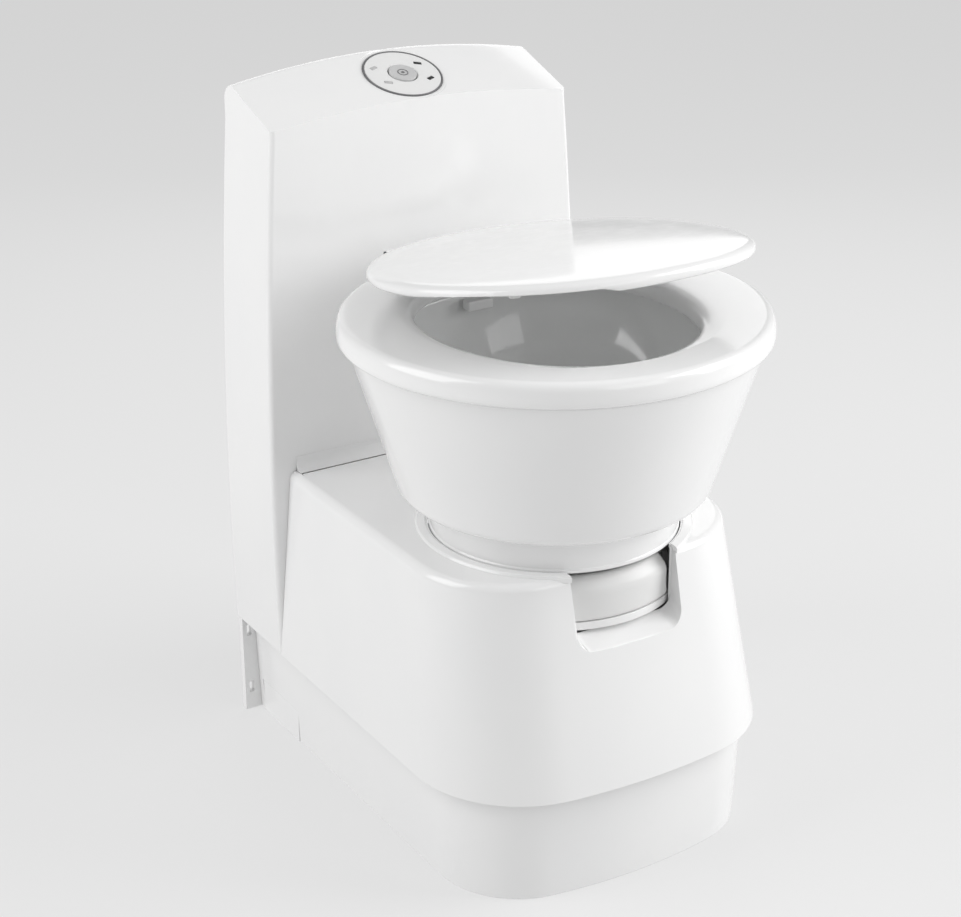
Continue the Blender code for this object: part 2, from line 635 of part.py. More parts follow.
def make_lid():
    """Shallow oval lid, shown a little open."""
    base = HINGE_Z + 0.0045
    middle = HINGE_Y - LID_SETBACK - LID_LENGTH / 2
    core = LID_HALF / 2
    levels = [lid_ring(0.012, base), lid_ring(0.002, base + 0.002), lid_ring(0.0, base + 0.006),
              lid_ring(0.002, base + 0.011), lid_ring(0.010, base + 0.0145),
              lid_ring(core, base + 0.0175)]
    lid = loft("lid", [tilt(level) for level in levels], SEAT_WHITE)
    hollow = [lid_ring(0.016, base - 0.01, 32), lid_ring(0.012, base + 0.0095, 32),
              lid_ring(core, base + 0.0135, 32)]
    cut(lid, loft("lid_hollow", [tilt(level) for level in hollow], None, cutter=True))
    for side in (1, -1):
        low_x, high_x = sorted((side * 0.0710, side * 0.0830))
        arm = [(HINGE_Y - 0.045, base - 0.001), (HINGE_Y - 0.045, base + 0.005),
               (HINGE_Y - 0.004, base + 0.0045), (HINGE_Y + 0.004, HINGE_Z + 0.0065),
               (HINGE_Y + 0.004, HINGE_Z), (HINGE_Y - 0.008, HINGE_Z)]
        arm = [(y, z) for x, y, z in tilt([(0, y, z) for y, z in arm])]
        lug = prism("lid_lug_%d" % side, arm, low_x, high_x, None, axis="X", cutter=True)
        barrel = cylinder("lid_barrel_%d" % side, 0.0078, (low_x, HINGE_Y, HINGE_Z),
                          (high_x, HINGE_Y, HINGE_Z), None, cutter=True, sides=16)
        join(lid, lug, barrel)
    cut(lid, cylinder("lid_pin_hole", 0.0033, (-0.1, HINGE_Y, HINGE_Z),
                      (0.1, HINGE_Y, HINGE_Z), None, cutter=True, sides=16))
    for side, word in ((1, "right"), (-1, "left")):
        foot, crown = tilt([(side * 0.115, middle - 0.110, base - 0.003),
                            (side * 0.115, middle - 0.110, base + 0.0088)])
        cylinder("lid_bumper_" + word, 0.006, foot, crown, LIGHT_GREY, sides=12)
    return lid


def make_hinge():
    block = box("hinge_block", (-0.0555, 0.1265, 0.5658), (0.0555, 0.1450, HINGE_Z), WHITE)
    barrel = cylinder("block_barrel", 0.0080, (-0.0555, HINGE_Y, HINGE_Z),
                      (0.0555, HINGE_Y, HINGE_Z), None, cutter=True, sides=16)
    join(block, barrel)
    cut(block, cylinder("block_pin_hole", 0.0033, (-0.1, HINGE_Y, HINGE_Z),
                        (0.1, HINGE_Y, HINGE_Z), None, cutter=True, sides=16))
    cylinder("hinge_pin", 0.0030, (-0.0815, HINGE_Y, HINGE_Z),
             (0.0815, HINGE_Y, HINGE_Z), STEEL, sides=16)


def make_bumpers():
    pad_x = 0.168
    for word, x, y in (("front_left", -pad_x * 0.55, -0.2330),
                       ("front_right", pad_x * 0.55, -0.2330),
                       ("rear_left", -pad_x, 0.020), ("rear_right", pad_x, 0.020)):
        cylinder("seat_bumper_" + word, 0.0080, (x, y, 0.5658), (x, y, SEAT_LOW - GAP),
                 RUBBER, sides=16)


# ---------------------------------------------------------------- lever
def make_lever():
    lever = sector("valve_lever", LEVER_IN, LEVER_OUT, LEVER_LOW, LEVER_HIGH, LEVER_HALF,
                   LIGHT_GREY)
    soften(lever, 0.005, 2)
    ring = turned("lever_ring", [(0.1040, 0.3020), (0.1180, 0.3020), (0.1180, 0.3260),
                                 (0.1040, 0.3260)], LIGHT_GREY, steps=36)
    dog = sector("drive_dog", 0.1085, 0.1165, 0.2320, 0.3100, math.radians(5), None,
                 steps=2, cutter=True)
    join(ring, dog)
    sector("lever_guide", 0.1190, 0.1365, 0.2880, LEVER_LOW - GAP, math.radians(52),
           WHITE, steps=20)
    return lever


def curve_piece(name, points, radius, finish):
    """A round bar along straight runs, turned into a mesh with welded ends."""
    curve = bpy.data.curves.new(name + "_path", "CURVE")
    curve.dimensions = "3D"
    curve.bevel_depth = radius
    curve.bevel_resolution = 1
    curve.use_fill_caps = True
    spline = curve.splines.new("POLY")
    spline.points.add(len(points) - 1)
    for point, at in zip(spline.points, points):
        point.co = (*at, 1.0)
    holder = bpy.data.objects.new(name + "_curve", curve)
    bpy.context.scene.collection.objects.link(holder)
    graph = bpy.context.evaluated_depsgraph_get()
    mesh = bpy.data.meshes.new_from_object(holder.evaluated_get(graph))
    bpy.data.objects.remove(holder)
    bm = bmesh.new()
    bm.from_mesh(mesh)
    bmesh.ops.remove_doubles(bm, verts=bm.verts, dist=1e-6)
    bpy.data.meshes.remove(mesh)
    return place(name, finish_mesh(bm, name), finish)


# ---------------------------------------------------------------- waste tank
def pair(name, low, high, joiner, target):
    """The same small block on both sides, joined to or cut from a piece."""
    for side in (1, -1):
        x_low, x_high = sorted((side * low[0], side * high[0]))
        word = "%s_%s" % (name, "right" if side > 0 else "left")
        joiner(target, box(word, (x_low, low[1], low[2]), (x_high, high[1], high[2]),
                           None, cutter=True))


def make_tank():
    """Holding tank that is drawn out through the wall on its own wheels."""
    tank = box("holding_tank", (-TANK_HALF, TANK_FRONT, TANK_LOW),
               (TANK_HALF, TANK_REAR, TANK_TOP), TANK_GREY, bevel=0.012)
    wall = TANK_WALL
    inside = box("tank_space", (wall - TANK_HALF, TANK_FRONT + wall, TANK_LOW + wall),
                 (TANK_HALF - wall, TANK_REAR - wall, TANK_TOP - wall), None, cutter=True,
                 bevel=0.009)
    step_y = WHEEL_Y + 0.026
    cut(inside, box("wheel_arch_inside", (-0.2, -0.2, 0.0), (0.2, step_y + wall, 0.0495),
                    None, cutter=True))
    cut(inside, box("grip_pocket_inside", (-0.064, 0.256, 0.118), (0.064, 0.30, 0.186),
                    None, cutter=True))
    pocket = box("grip_pocket", (-0.060, 0.260, 0.122), (0.060, 0.30, 0.182), None,
                 cutter=True)
    arch = box("wheel_arch", (-0.2, -0.2, 0.0), (0.2, step_y, 0.0460), None, cutter=True)
    inlet = cylinder("tank_inlet", 0.0460, (0, AXIS_Y, 0.19), (0, AXIS_Y, 0.21), None,
                     cutter=True, sides=32)
    drain = cylinder("tank_drain", 0.0120, (-0.115, SPOUT_Y, 0.19),
                     (-0.115, SPOUT_Y, 0.21), None, cutter=True, sides=16)
    cut(tank, inside, pocket, arch, inlet, drain)
    pair("axle_lug", (0.118, WHEEL_Y - 0.009, WHEEL_Z - 0.008),
         (0.128, WHEEL_Y + 0.009, 0.0480), join, tank)
    pair("skid", (0.115, 0.235, FLOOR_TOP + GAP), (0.135, 0.270, 0.030), join, tank)
    pair("grip_lug", (0.0562, 0.2840, GRIP_Z - 0.007), (0.0640, 0.2970, GRIP_Z + 0.007),
         join, tank)
    pair("rail_clip_rear", (0.1540, 0.235, 0.143), (0.1645, 0.247, 0.157), join, tank)
    pair("rail_clip_front", (0.1540, 0.095, 0.143), (0.1645, 0.107, 0.157), join, tank)
    striker = box("latch_striker", (0.092, 0.2700, TANK_TOP + GAP), (0.118, 0.2810, 0.2340),
                  STEEL)
    join(striker, box("striker_foot", (0.092, 0.2500, TANK_TOP + GAP),
                      (0.118, 0.2750, TANK_TOP + 0.0023), None, cutter=True))
    for side, word in ((1, "right"), (-1, "left")):
        cut(tank, cylinder("rail_bore_" + word, RAIL_R + GAP, (side * RAIL_X, 0.05, RAIL_Z),
                           (side * RAIL_X, 0.30, RAIL_Z), None, cutter=True, sides=12))
    cut(tank, cylinder("axle_bore", AXLE_R + GAP, (-0.13, WHEEL_Y, WHEEL_Z),
                       (0.13, WHEEL_Y, WHEEL_Z), None, cutter=True, sides=16),
        cylinder("grip_bore", 0.0033, (-0.07, GRIP_Y, GRIP_Z), (0.07, GRIP_Y, GRIP_Z),
                 None, cutter=True, sides=12))
    return tank


def make_slide_valve():
    """Flat valve on the tank: housing, sliding blade and lip seal."""
    housing = box("valve_housing", (-0.066, -0.135, TANK_TOP + GAP), (0.066, 0.105, 0.2240),
                  MID_GREY)
    slot = box("blade_slot", (-0.0560, -0.1295, 0.2085), (0.0560, 0.0720, 0.2155), None,
               cutter=True)
    bore = cylinder("housing_bore", 0.0460, (0, AXIS_Y, 0.19), (0, AXIS_Y, 0.23), None,
                    cutter=True, sides=32)
    cut(housing, slot, bore)
    box("slide_blade", (-0.0555, -0.1288, 0.2088), (0.0555, -0.0288, 0.2152), TANK_GREY)
    turned("lip_seal", [(0.0455, 0.2243), (0.0620, 0.2243), (0.0560, 0.2312),
                        (0.0455, 0.2312)], RUBBER, steps=32)


def make_spout():
    """Swivelling elbow for emptying, its cap and the air button beside it."""
    x = SPOUT_X
    z = SPOUT_Z
    spout = cylinder("pour_spout", 0.0260, (x, SPOUT_Y, TANK_TOP + GAP),
                     (x, SPOUT_Y, 0.2335), TANK_GREY, sides=24)
    tube = cylinder("spout_tube", 0.0148, (x, SPOUT_Y, z), (-0.012, SPOUT_Y, z), None,
                    cutter=True, sides=24)
    bore = cylinder("spout_bore", 0.0115, (x, SPOUT_Y, z), (0.0, SPOUT_Y, z), None,
                    cutter=True, sides=16)
    foot = cylinder("spout_foot_bore", 0.0118, (x, SPOUT_Y, 0.19), (x, SPOUT_Y, z), None,
                    cutter=True, sides=16)
    join(spout, tube)
    cut(spout, bore, foot)
    cylinder("spout_cap", 0.0170, (-0.0117, SPOUT_Y, z), (0.0050, SPOUT_Y, z), BLACK,
             sides=20)
    cylinder("vent_button", 0.0090, (0.060, SPOUT_Y, 0.2040), (0.060, SPOUT_Y, 0.2130),
             BLACK, sides=16)


def make_trolley():
    """Wheels, axle, pull-out handle, carry handle and latch of the tank."""
    for side, word in ((1, "right"), (-1, "left")):
        inner, outer = sorted((side * 0.1375, side * 0.1530))
        wheel = cylinder("tank_wheel_" + word, WHEEL_R, (inner, WHEEL_Y, WHEEL_Z),
                         (outer, WHEEL_Y, WHEEL_Z), BLACK, sides=24)
        cut(wheel, cylinder("wheel_bore_" + word, AXLE_R + GAP,
                            (inner - 0.01, WHEEL_Y, WHEEL_Z),
                            (outer + 0.01, WHEEL_Y, WHEEL_Z), None, cutter=True, sides=12))
    cylinder("wheel_axle", AXLE_R, (-0.1545, WHEEL_Y, WHEEL_Z), (0.1545, WHEEL_Y, WHEEL_Z),
             STEEL, sides=12)
    handle = box("pull_handle", (-0.1625, 0.2858, 0.142), (0.1625, 0.2860 + 0.0105, 0.158),
                 BLACK)
    for side, word in ((1, "right"), (-1, "left")):
        join(handle, cylinder("rail_" + word, RAIL_R, (side * RAIL_X, -0.050, RAIL_Z),
                              (side * RAIL_X, 0.2900, RAIL_Z), None, cutter=True, sides=12))
    low_z = GRIP_Z - 0.055
    high_z = GRIP_Z + 0.0042
    path = [(-0.050, GRIP_Y, high_z), (-0.050, GRIP_Y, low_z + 0.008), (-0.042, GRIP_Y, low_z),
            (0.042, GRIP_Y, low_z), (0.050, GRIP_Y, low_z + 0.008), (0.050, GRIP_Y, high_z)]
    grip = curve_piece("carry_handle", path, 0.0045, BLACK)
    join(grip, cylinder("grip_rod", 0.0030, (-0.0630, GRIP_Y, GRIP_Z),
                        (0.0630, GRIP_Y, GRIP_Z), None, cutter=True, sides=12))
    box("tank_latch", (0.096, 0.2862, 0.2445), (0.114, 0.2938, 0.2750), BLACK)
    float_arm = box("level_float", (0.105, 0.170, 0.0360), (0.120, 0.230, 0.0400), BLACK)
    join(float_arm, cylinder("float_bulb", 0.0100, (0.098, 0.176, 0.0440),
                             (0.127, 0.176, 0.0440), None, cutter=True, sides=12))


def make_screws():
    for i, (x, y) in enumerate(((-0.100, -0.205), (0.100, -0.205), (-0.060, 0.180),
                                (0.060, 0.180))):
        cylinder("floor_screw_%d" % (i + 1), 0.0060, (x, y, FLOOR_TOP + GAP),
                 (x, y, FLOOR_TOP + 0.0045), STEEL, sides=12)


# ---------------------------------------------------------------- joint axes
def hang(point, *names):
    """Put the origin of moving pieces on the axis of their joint."""
    for name in names:
        piece = bpy.data.objects[name]
        piece.data.transform(Matrix.Translation(-Vector(point)))
        piece.location = point


make_plinth()
make_cover()
make_console()
make_rear_panel()
make_water_tank()
make_hose()
make_controls()
make_carrier()
make_bowl()
make_seat()
make_lid()
make_hinge()
make_bumpers()
make_lever()
make_tank()
make_slide_valve()
make_spout()
make_trolley()
make_screws()

hang((0, AXIS_Y, 0), "bowl_shell", "bowl_inlay", "outlet_pipe", "outlet_seal", "flush_nozzle",
     "hinge_block", "hinge_pin", "valve_lever", "lever_ring")
hang((0, HINGE_Y, HINGE_Z), "lid", "lid_bumper_left", "lid_bumper_right")
hang((0, HINGE_Y, HINGE_Z), "seat", "seat_bumper_front_left", "seat_bumper_front_right",
     "seat_bumper_rear_left", "seat_bumper_rear_right")
hang((0.105, 0.296, 0.600), "water_filler_cap")
hang(panel_point(0, 0, 0), "flush_button")
hang((0, TANK_REAR, TANK_LOW), "holding_tank", "valve_housing", "lip_seal", "latch_striker")
hang((0, AXIS_Y, TANK_TOP), "slide_blade")
hang((SPOUT_X, SPOUT_Y, SPOUT_Z), "pour_spout", "spout_cap")
hang((0.060, SPOUT_Y, 0.204), "vent_button")
hang((0, WHEEL_Y, WHEEL_Z), "tank_wheel_left", "tank_wheel_right", "wheel_axle")
hang((0, GRIP_Y, RAIL_Z), "pull_handle")
hang((0, GRIP_Y, GRIP_Z), "carry_handle")
hang((0.105, 0.290, 0.260), "tank_latch")
hang((0.1125, 0.228, 0.038), "level_float")
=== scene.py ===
import json
import math

import bmesh
import bpy
from mathutils import Matrix, Vector


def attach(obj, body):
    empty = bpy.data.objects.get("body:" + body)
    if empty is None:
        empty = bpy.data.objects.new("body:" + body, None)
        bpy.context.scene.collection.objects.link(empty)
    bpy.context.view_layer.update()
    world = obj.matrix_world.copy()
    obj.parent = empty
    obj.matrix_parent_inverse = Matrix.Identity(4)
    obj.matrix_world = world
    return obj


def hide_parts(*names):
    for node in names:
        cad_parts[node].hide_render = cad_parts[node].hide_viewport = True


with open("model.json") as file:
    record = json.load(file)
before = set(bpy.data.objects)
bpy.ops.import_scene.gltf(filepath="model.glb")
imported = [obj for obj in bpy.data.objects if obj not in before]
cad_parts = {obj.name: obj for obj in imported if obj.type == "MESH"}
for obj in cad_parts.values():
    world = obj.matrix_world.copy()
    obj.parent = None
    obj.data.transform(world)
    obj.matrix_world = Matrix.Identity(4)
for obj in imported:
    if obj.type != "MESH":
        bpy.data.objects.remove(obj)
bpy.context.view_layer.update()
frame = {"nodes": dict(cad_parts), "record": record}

# ------------------------------------------------------------------ floor tray
# The tray is one white moulding screwed to the floor.  It leans outwards a little
# as it rises, its front is a shallow bow between two round corners, and a window
# low in each side is closed by the small cover over the side fixing.
PLINTH_HALF = 0.184
PLINTH_FRONT = -0.247
PLINTH_TOP = 0.150
PLINTH_LEAN = 0.0055
PLINTH_REAR = 0.2942
PLINTH_WALL = 0.004
PLINTH_BOW = 0.57
PLINTH_CORNER = 0.098
TRAY_FLOOR = 0.004


def plastic(name, colour, shade, rough_low, rough_high, peel, coat=0.0, grain=420.0,
            metallic=0.0):
    """Moulded plastic: drifting colour, cloudy gloss, faint rubbing and a fine skin."""
    made = bpy.data.materials.new(name)
    made.use_nodes = True
    nodes = made.node_tree.nodes
    links = made.node_tree.links
    shader = nodes["Principled BSDF"]
    shader.inputs["Metallic"].default_value = metallic
    shader.inputs["Coat Weight"].default_value = coat
    shader.inputs["Coat Roughness"].default_value = 0.06
    place = nodes.new("ShaderNodeTexCoord")

    def noise(scale, detail, stretch=None):
        """A noise pattern on the piece's own coordinates."""
        pattern = nodes.new("ShaderNodeTexNoise")
        pattern.inputs["Scale"].default_value = scale
        pattern.inputs["Detail"].default_value = detail
        if stretch is None:
            links.new(place.outputs["Object"], pattern.inputs["Vector"])
        else:
            squeeze = nodes.new("ShaderNodeMapping")
            squeeze.inputs["Scale"].default_value = stretch
            links.new(place.outputs["Object"], squeeze.inputs["Vector"])
            links.new(squeeze.outputs["Vector"], pattern.inputs["Vector"])
        return pattern

    drift = noise(7.0, 4.0)
    tint = nodes.new("ShaderNodeValToRGB")
    tint.color_ramp.elements[0].position = 0.32
    tint.color_ramp.elements[0].color = (*shade, 1.0)
    tint.color_ramp.elements[1].position = 0.62
    tint.color_ramp.elements[1].color = (*colour, 1.0)
    links.new(drift.outputs["Fac"], tint.inputs["Fac"])
    links.new(tint.outputs["Color"], shader.inputs["Base Color"])

    cloud = noise(38.0, 5.0)
    rubbing = noise(95.0, 4.0, (1.0, 1.4, 1.2))
    both = nodes.new("ShaderNodeMath")
    both.operation = "MULTIPLY"
    links.new(cloud.outputs["Fac"], both.inputs[0])
    links.new(rubbing.outputs["Fac"], both.inputs[1])
    gloss = nodes.new("ShaderNodeMapRange")
    gloss.inputs["From Min"].default_value = 0.15
    gloss.inputs["From Max"].default_value = 0.42
    gloss.inputs["To Min"].default_value = rough_low
    gloss.inputs["To Max"].default_value = rough_high
    links.new(both.outputs["Value"], gloss.inputs["Value"])
    links.new(gloss.outputs["Result"], shader.inputs["Roughness"])

    skin = noise(grain, 3.0)
    relief = nodes.new("ShaderNodeBump")
    relief.inputs["Strength"].default_value = peel
    relief.inputs["Distance"].default_value = 0.0004
    links.new(skin.outputs["Fac"], relief.inputs["Height"])
    links.new(relief.outputs["Normal"], shader.inputs["Normal"])
    return made


white_moulding = plastic("white_moulding", (0.880, 0.880, 0.878), (0.862, 0.863, 0.864),
                         0.11, 0.18, 0.016, coat=0.25)


def lofted(rings, closed=False):
    """A skin drawn over rings of points, one bridge from each ring to the next."""
    bm = bmesh.new()
    loops = []
    for ring in rings:
        corners = [bm.verts.new(point) for point in ring]
        loops.append([bm.edges.new((corners[i - 1], corners[i]))
                      for i in range(len(corners))])
    for lower, upper in zip(loops, loops[1:]):
        bmesh.ops.bridge_loops(bm, edges=lower + upper)
    if closed:
        bmesh.ops.bridge_loops(bm, edges=loops[-1] + loops[0])
    else:
        bmesh.ops.edgeloop_fill(bm, edges=loops[0])
        bmesh.ops.edgeloop_fill(bm, edges=loops[-1])
    return bm


def turned(profile, steps=128, sweep=2 * math.pi, centre=(0.0, 0.0), start=0.0):
    """A closed outline of (radius, z) swept round an upright axis."""
    bm = bmesh.new()
    corners = [bm.verts.new((r * math.cos(start), r * math.sin(start), z))
               for r, z in profile]
    edges = [bm.edges.new((corners[i - 1], corners[i])) for i in range(len(corners))]
    whole = abs(sweep - 2 * math.pi) < 1e-6
    if not whole:
        bmesh.ops.edgeloop_fill(bm, edges=edges)
    spun = bmesh.ops.spin(bm, geom=corners + edges, cent=(0, 0, 0), axis=(0, 0, 1),
                          angle=sweep, steps=steps, use_merge=whole)
    if not whole:
        last = [e for e in spun["geom_last"] if isinstance(e, bmesh.types.BMEdge)]
        bmesh.ops.edgeloop_fill(bm, edges=last)
    bmesh.ops.remove_doubles(bm, verts=bm.verts, dist=1e-6)
    bmesh.ops.translate(bm, vec=(centre[0], centre[1], 0), verts=bm.verts)
    return bm


def block(low, high, radius=0.0, segments=3):
    """A box between two corners with its edges rounded."""
    bm = bmesh.new()
    low = Vector(low)
    high = Vector(high)
    bmesh.ops.create_cube(bm, size=1.0)
    bmesh.ops.scale(bm, vec=high - low, verts=bm.verts)
    bmesh.ops.translate(bm, vec=(low + high) / 2, verts=bm.verts)
    if radius:
        bmesh.ops.bevel(bm, geom=bm.edges[:], offset=radius, segments=segments,
                        profile=0.5, affect="EDGES", material=-1)
    return bm


def drawn(outline, along):
    """A flat outline of points drawn out along a direction."""
    bm = bmesh.new()
    face = bm.faces.new([bm.verts.new(point) for point in outline])
    grown = bmesh.ops.extrude_face_region(bm, geom=[face])["geom"]
    bmesh.ops.translate(bm, vec=along,
                        verts=[v for v in grown if isinstance(v, bmesh.types.BMVert)])
    return bm


def settle(bm, name, sharp=38):
    """Make the mesh of a finished shape, faces outwards and shaded round."""
    bmesh.ops.remove_doubles(bm, verts=bm.verts, dist=1e-6)
    bmesh.ops.recalc_face_normals(bm, faces=bm.faces)
    mesh = bpy.data.meshes.new(name)
    bm.to_mesh(mesh)
    bm.free()
    mesh.shade_smooth()
    mesh.set_sharp_from_angle(angle=math.radians(sharp))
    shape = bpy.data.objects.new(name, mesh)
    bpy.context.scene.collection.objects.link(shape)
    return shape


def carve(piece, tool, operation="DIFFERENCE"):
    """Cut a piece with a tool shape, or join them; the tool is then thrown away."""
    step = piece.modifiers.new("carve", "BOOLEAN")
    step.operation = operation
    step.solver = "EXACT"
    step.object = tool
    graph = bpy.context.evaluated_depsgraph_get()
    carved = bpy.data.meshes.new_from_object(piece.evaluated_get(graph))
    piece.modifiers.clear()
    piece.data = carved
    bpy.data.objects.remove(tool)


def ease(piece, width, segments, angle=32):
    """Round what is still sharp, as the mould's own edges are."""
    edge = piece.modifiers.new("edges", "BEVEL")
    edge.width = width
    edge.segments = segments
    edge.limit_method = "ANGLE"
    edge.angle_limit = math.radians(angle)
    edge.miter_outer = "MITER_ARC"
    flow = piece.modifiers.new("flow", "WEIGHTED_NORMAL")
    flow.keep_sharp = False


def fit(piece, finish, body, slot, *nodes):
    """Give a piece its finish, its body and the plain nodes that it stands for."""
    piece.data.materials.clear()
    piece.data.materials.append(finish)
    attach(piece, body)
    if nodes:
        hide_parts(*nodes)


def arc(centre, radius, start, end, steps):
    """Points along an arc, from start to end in radians."""
    return [(centre[0] + radius * math.cos(start + (end - start) * i / steps),
             centre[1] + radius * math.sin(start + (end - start) * i / steps))
            for i in range(steps + 1)]


def body_plan(half, front, bow, corner, rear):
    """The body seen from above: bowed front, round corners and straight sides."""
    corner_x = half - corner
    corner_y = front + bow - math.sqrt((bow - corner) ** 2 - corner_x ** 2)
    lean = math.atan2(corner_x, front + bow - corner_y)
    right = arc((corner_x, corner_y), corner, 0.0, lean - math.pi / 2, 20)
    nose = [(bow * math.sin(lean * (1 - 2 * i / 24)),
             front + bow - bow * math.cos(lean * (1 - 2 * i / 24)))
            for i in range(1, 24)]
    left = [(-x, y) for x, y in reversed(right)]
    side = [(half, rear + (corner_y - rear) * i / 12) for i in range(12)]
    return side + right + nose + left + [(-x, y) for x, y in reversed(side)]


def plinth_ring(z, inset=0.0, past=0.0):
    """The tray's outline at one height."""
    lean = PLINTH_LEAN * z / PLINTH_TOP
    plan = body_plan(PLINTH_HALF + lean - inset, PLINTH_FRONT - lean + inset,
                     PLINTH_BOW - inset, PLINTH_CORNER - inset, PLINTH_REAR + past)
    return [(x, y, z) for x, y in plan]


plinth = settle(lofted([plinth_ring(0.0, 0.0015)] + [plinth_ring(z) for z in
                       (0.0015, 0.03, 0.06, 0.09, 0.12, PLINTH_TOP)]), "floor_tray")
carve(plinth, settle(lofted([plinth_ring(z, PLINTH_WALL, 0.01) for z in
                             (TRAY_FLOOR, 0.05, 0.10, PLINTH_TOP + 0.01)]), "tray_hollow"))
for side in (1, -1):
    low_x, high_x = sorted((side * 0.170, side * 0.195))
    carve(plinth, settle(block((low_x, 0.1903, -0.01), (high_x, 0.2852, 0.0412)),
                         "fixing_window"))
ease(plinth, 0.0006, 2)
fit(plinth, white_moulding, "base", "white_gloss", "plinth")

# ----------------------------------------------------------------- lower cover
# One large white moulding drops over the tray and the waste tank.  Its top is a
# flat shoulder with a collar round the bowl's neck, a notch at the front lets
# the fingers reach the lever, and a fillet rises into the console behind.
SEAM_Z = 0.127
COVER_TOP = 0.354
COVER_HALF = 0.2066
COVER_TOP_HALF = 0.184
COVER_FRONT = -0.2667
COVER_TOP_FRONT = -0.212
COVER_SKIN = 0.003
COVER_BOW = 0.68
COVER_CORNER = 0.128
REAR_LEAN = 0.0081        # how far the console's face falls back per metre of height
EDGE_R = 0.010
AXIS_Y = -0.078
NECK_R = 0.1365
NOTCH_HALF = 0.0655
NOTCH_WALL = 0.004
NOTCH_CORNER = 0.016
FILLET_HALF = 0.176


def cover_ring(z, inset=0.0, past=0.0):
    """The cover's outline at one height, leaning inwards as it rises."""
    t = (z - SEAM_Z) / (COVER_TOP - SEAM_Z)
    half = COVER_HALF + (COVER_TOP_HALF - COVER_HALF) * t - inset
    front = COVER_FRONT + (COVER_TOP_FRONT - COVER_FRONT) * t + inset
    rear = 0.1847 + REAR_LEAN * (z - SEAM_Z) + past
    plan = body_plan(half, front, COVER_BOW, COVER_CORNER - 0.018 * t - inset, rear)
    return [(x, y, z) for x, y in plan]


shoulder = COVER_TOP - EDGE_R
sides = [cover_ring(SEAM_Z + (shoulder - SEAM_Z) * i / 8) for i in range(9)]
edge = []
for i in range(1, 7):
    turn = math.pi / 2 * i / 6
    edge.append([(x, y, shoulder + EDGE_R * math.sin(turn)) for x, y, z in
                 cover_ring(shoulder, EDGE_R * (1 - math.cos(turn)))])
cover = settle(lofted(sides + edge), "lower_cover")
collar = [(0.130, 0.3500), (0.1500, 0.3500), (0.1500, 0.3545)]
collar += arc((0.1475, 0.3553), 0.0016, 0.2, math.pi / 2, 4)
collar += arc((0.1400, 0.3553), 0.0016, math.pi / 2, math.pi, 4)
collar += [(0.130, 0.3553)]
carve(cover, settle(turned(collar, centre=(0, AXIS_Y)), "collar"), "UNION")
hollow = settle(lofted([[(x, y, z - 0.02) for x, y, z in cover_ring(SEAM_Z, COVER_SKIN, 0.02)]]
                       + [cover_ring(z, COVER_SKIN, 0.02) for z in (0.16, 0.22, 0.28, 0.335)]
                       + [[(x, y, COVER_TOP - COVER_SKIN) for x, y, z in
                           cover_ring(0.345, 0.010, 0.02)]]), "cover_hollow")
pocket = [(-NOTCH_HALF - NOTCH_WALL, y, z) for y, z in
          ((-0.30, 0.37), (-0.30, 0.2436), (-0.2060, 0.2825), (-0.2035, 0.2825),
           (-0.2035, 0.37))]
carve(hollow, settle(drawn(pocket, (2 * NOTCH_HALF + 2 * NOTCH_WALL, 0, 0)), "notch_wall"))
carve(cover, hollow)
carve(cover, settle(turned([(0.0, 0.30), (NECK_R, 0.30), (NECK_R, 0.40), (0.0, 0.40)],
                           centre=(0, AXIS_Y)), "neck_hole"))


def notch_section(y, grow, low):
    """The notch seen from the front: upright sides with round lower corners."""
    half = NOTCH_HALF + grow
    section = [(-half, 0.42)]
    rise = low + NOTCH_CORNER
    section += arc((NOTCH_CORNER - half, rise), NOTCH_CORNER, math.pi, 1.5 * math.pi, 8)
    section += arc((half - NOTCH_CORNER, rise), NOTCH_CORNER, 1.5 * math.pi, 2 * math.pi, 8)
    section += [(half, 0.42)]
    return [(x, y, z) for x, z in section]


carve(cover, settle(lofted([notch_section(-0.320, -0.003, 0.2370),
                            notch_section(-0.255, -0.001, 0.2625),
                            notch_section(-0.192, 0.001, 0.2900)]), "notch"))
fillet = [(0.1700, 0.3520)] + arc((0.1700, 0.3710), 0.0175, -math.pi / 2, 0.0, 8)
fillet += [(0.1864, 0.3710), (0.1864, 0.3520)]
rear = drawn([(-FILLET_HALF, y, z) for y, z in fillet], (2 * FILLET_HALF, 0, 0))
carve(cover, settle(rear, "rear_fillet"), "UNION")
ease(cover, 0.0022, 3)
fit(cover, white_moulding, "base", "white_gloss", "base_cover")

# --------------------------------------------------------------------- console
# The tall white housing holds the flush water tank and the controls.  Its sides
# bow out slightly, its sloping top is crowned from side to side, and it rolls
# over at the back to meet the wall.
CONSOLE_TOP_HALF = 0.188
CONSOLE_REAR = 0.3035
CONSOLE_CORNER_Z = 0.7465
FRONT_TOP_Y = 0.190
CREST_Y = 0.284
FRONT_TOP_Z = 0.7613
CREST_Z = 0.7970
CROWN_FRONT = 0.0148
CROWN_REAR = 0.018
ROLL = 0.0195
PANEL_Y = 0.2365
PANEL_R = 0.0458
SLOPE = math.atan((CREST_Z - FRONT_TOP_Z) / (CREST_Y - FRONT_TOP_Y))


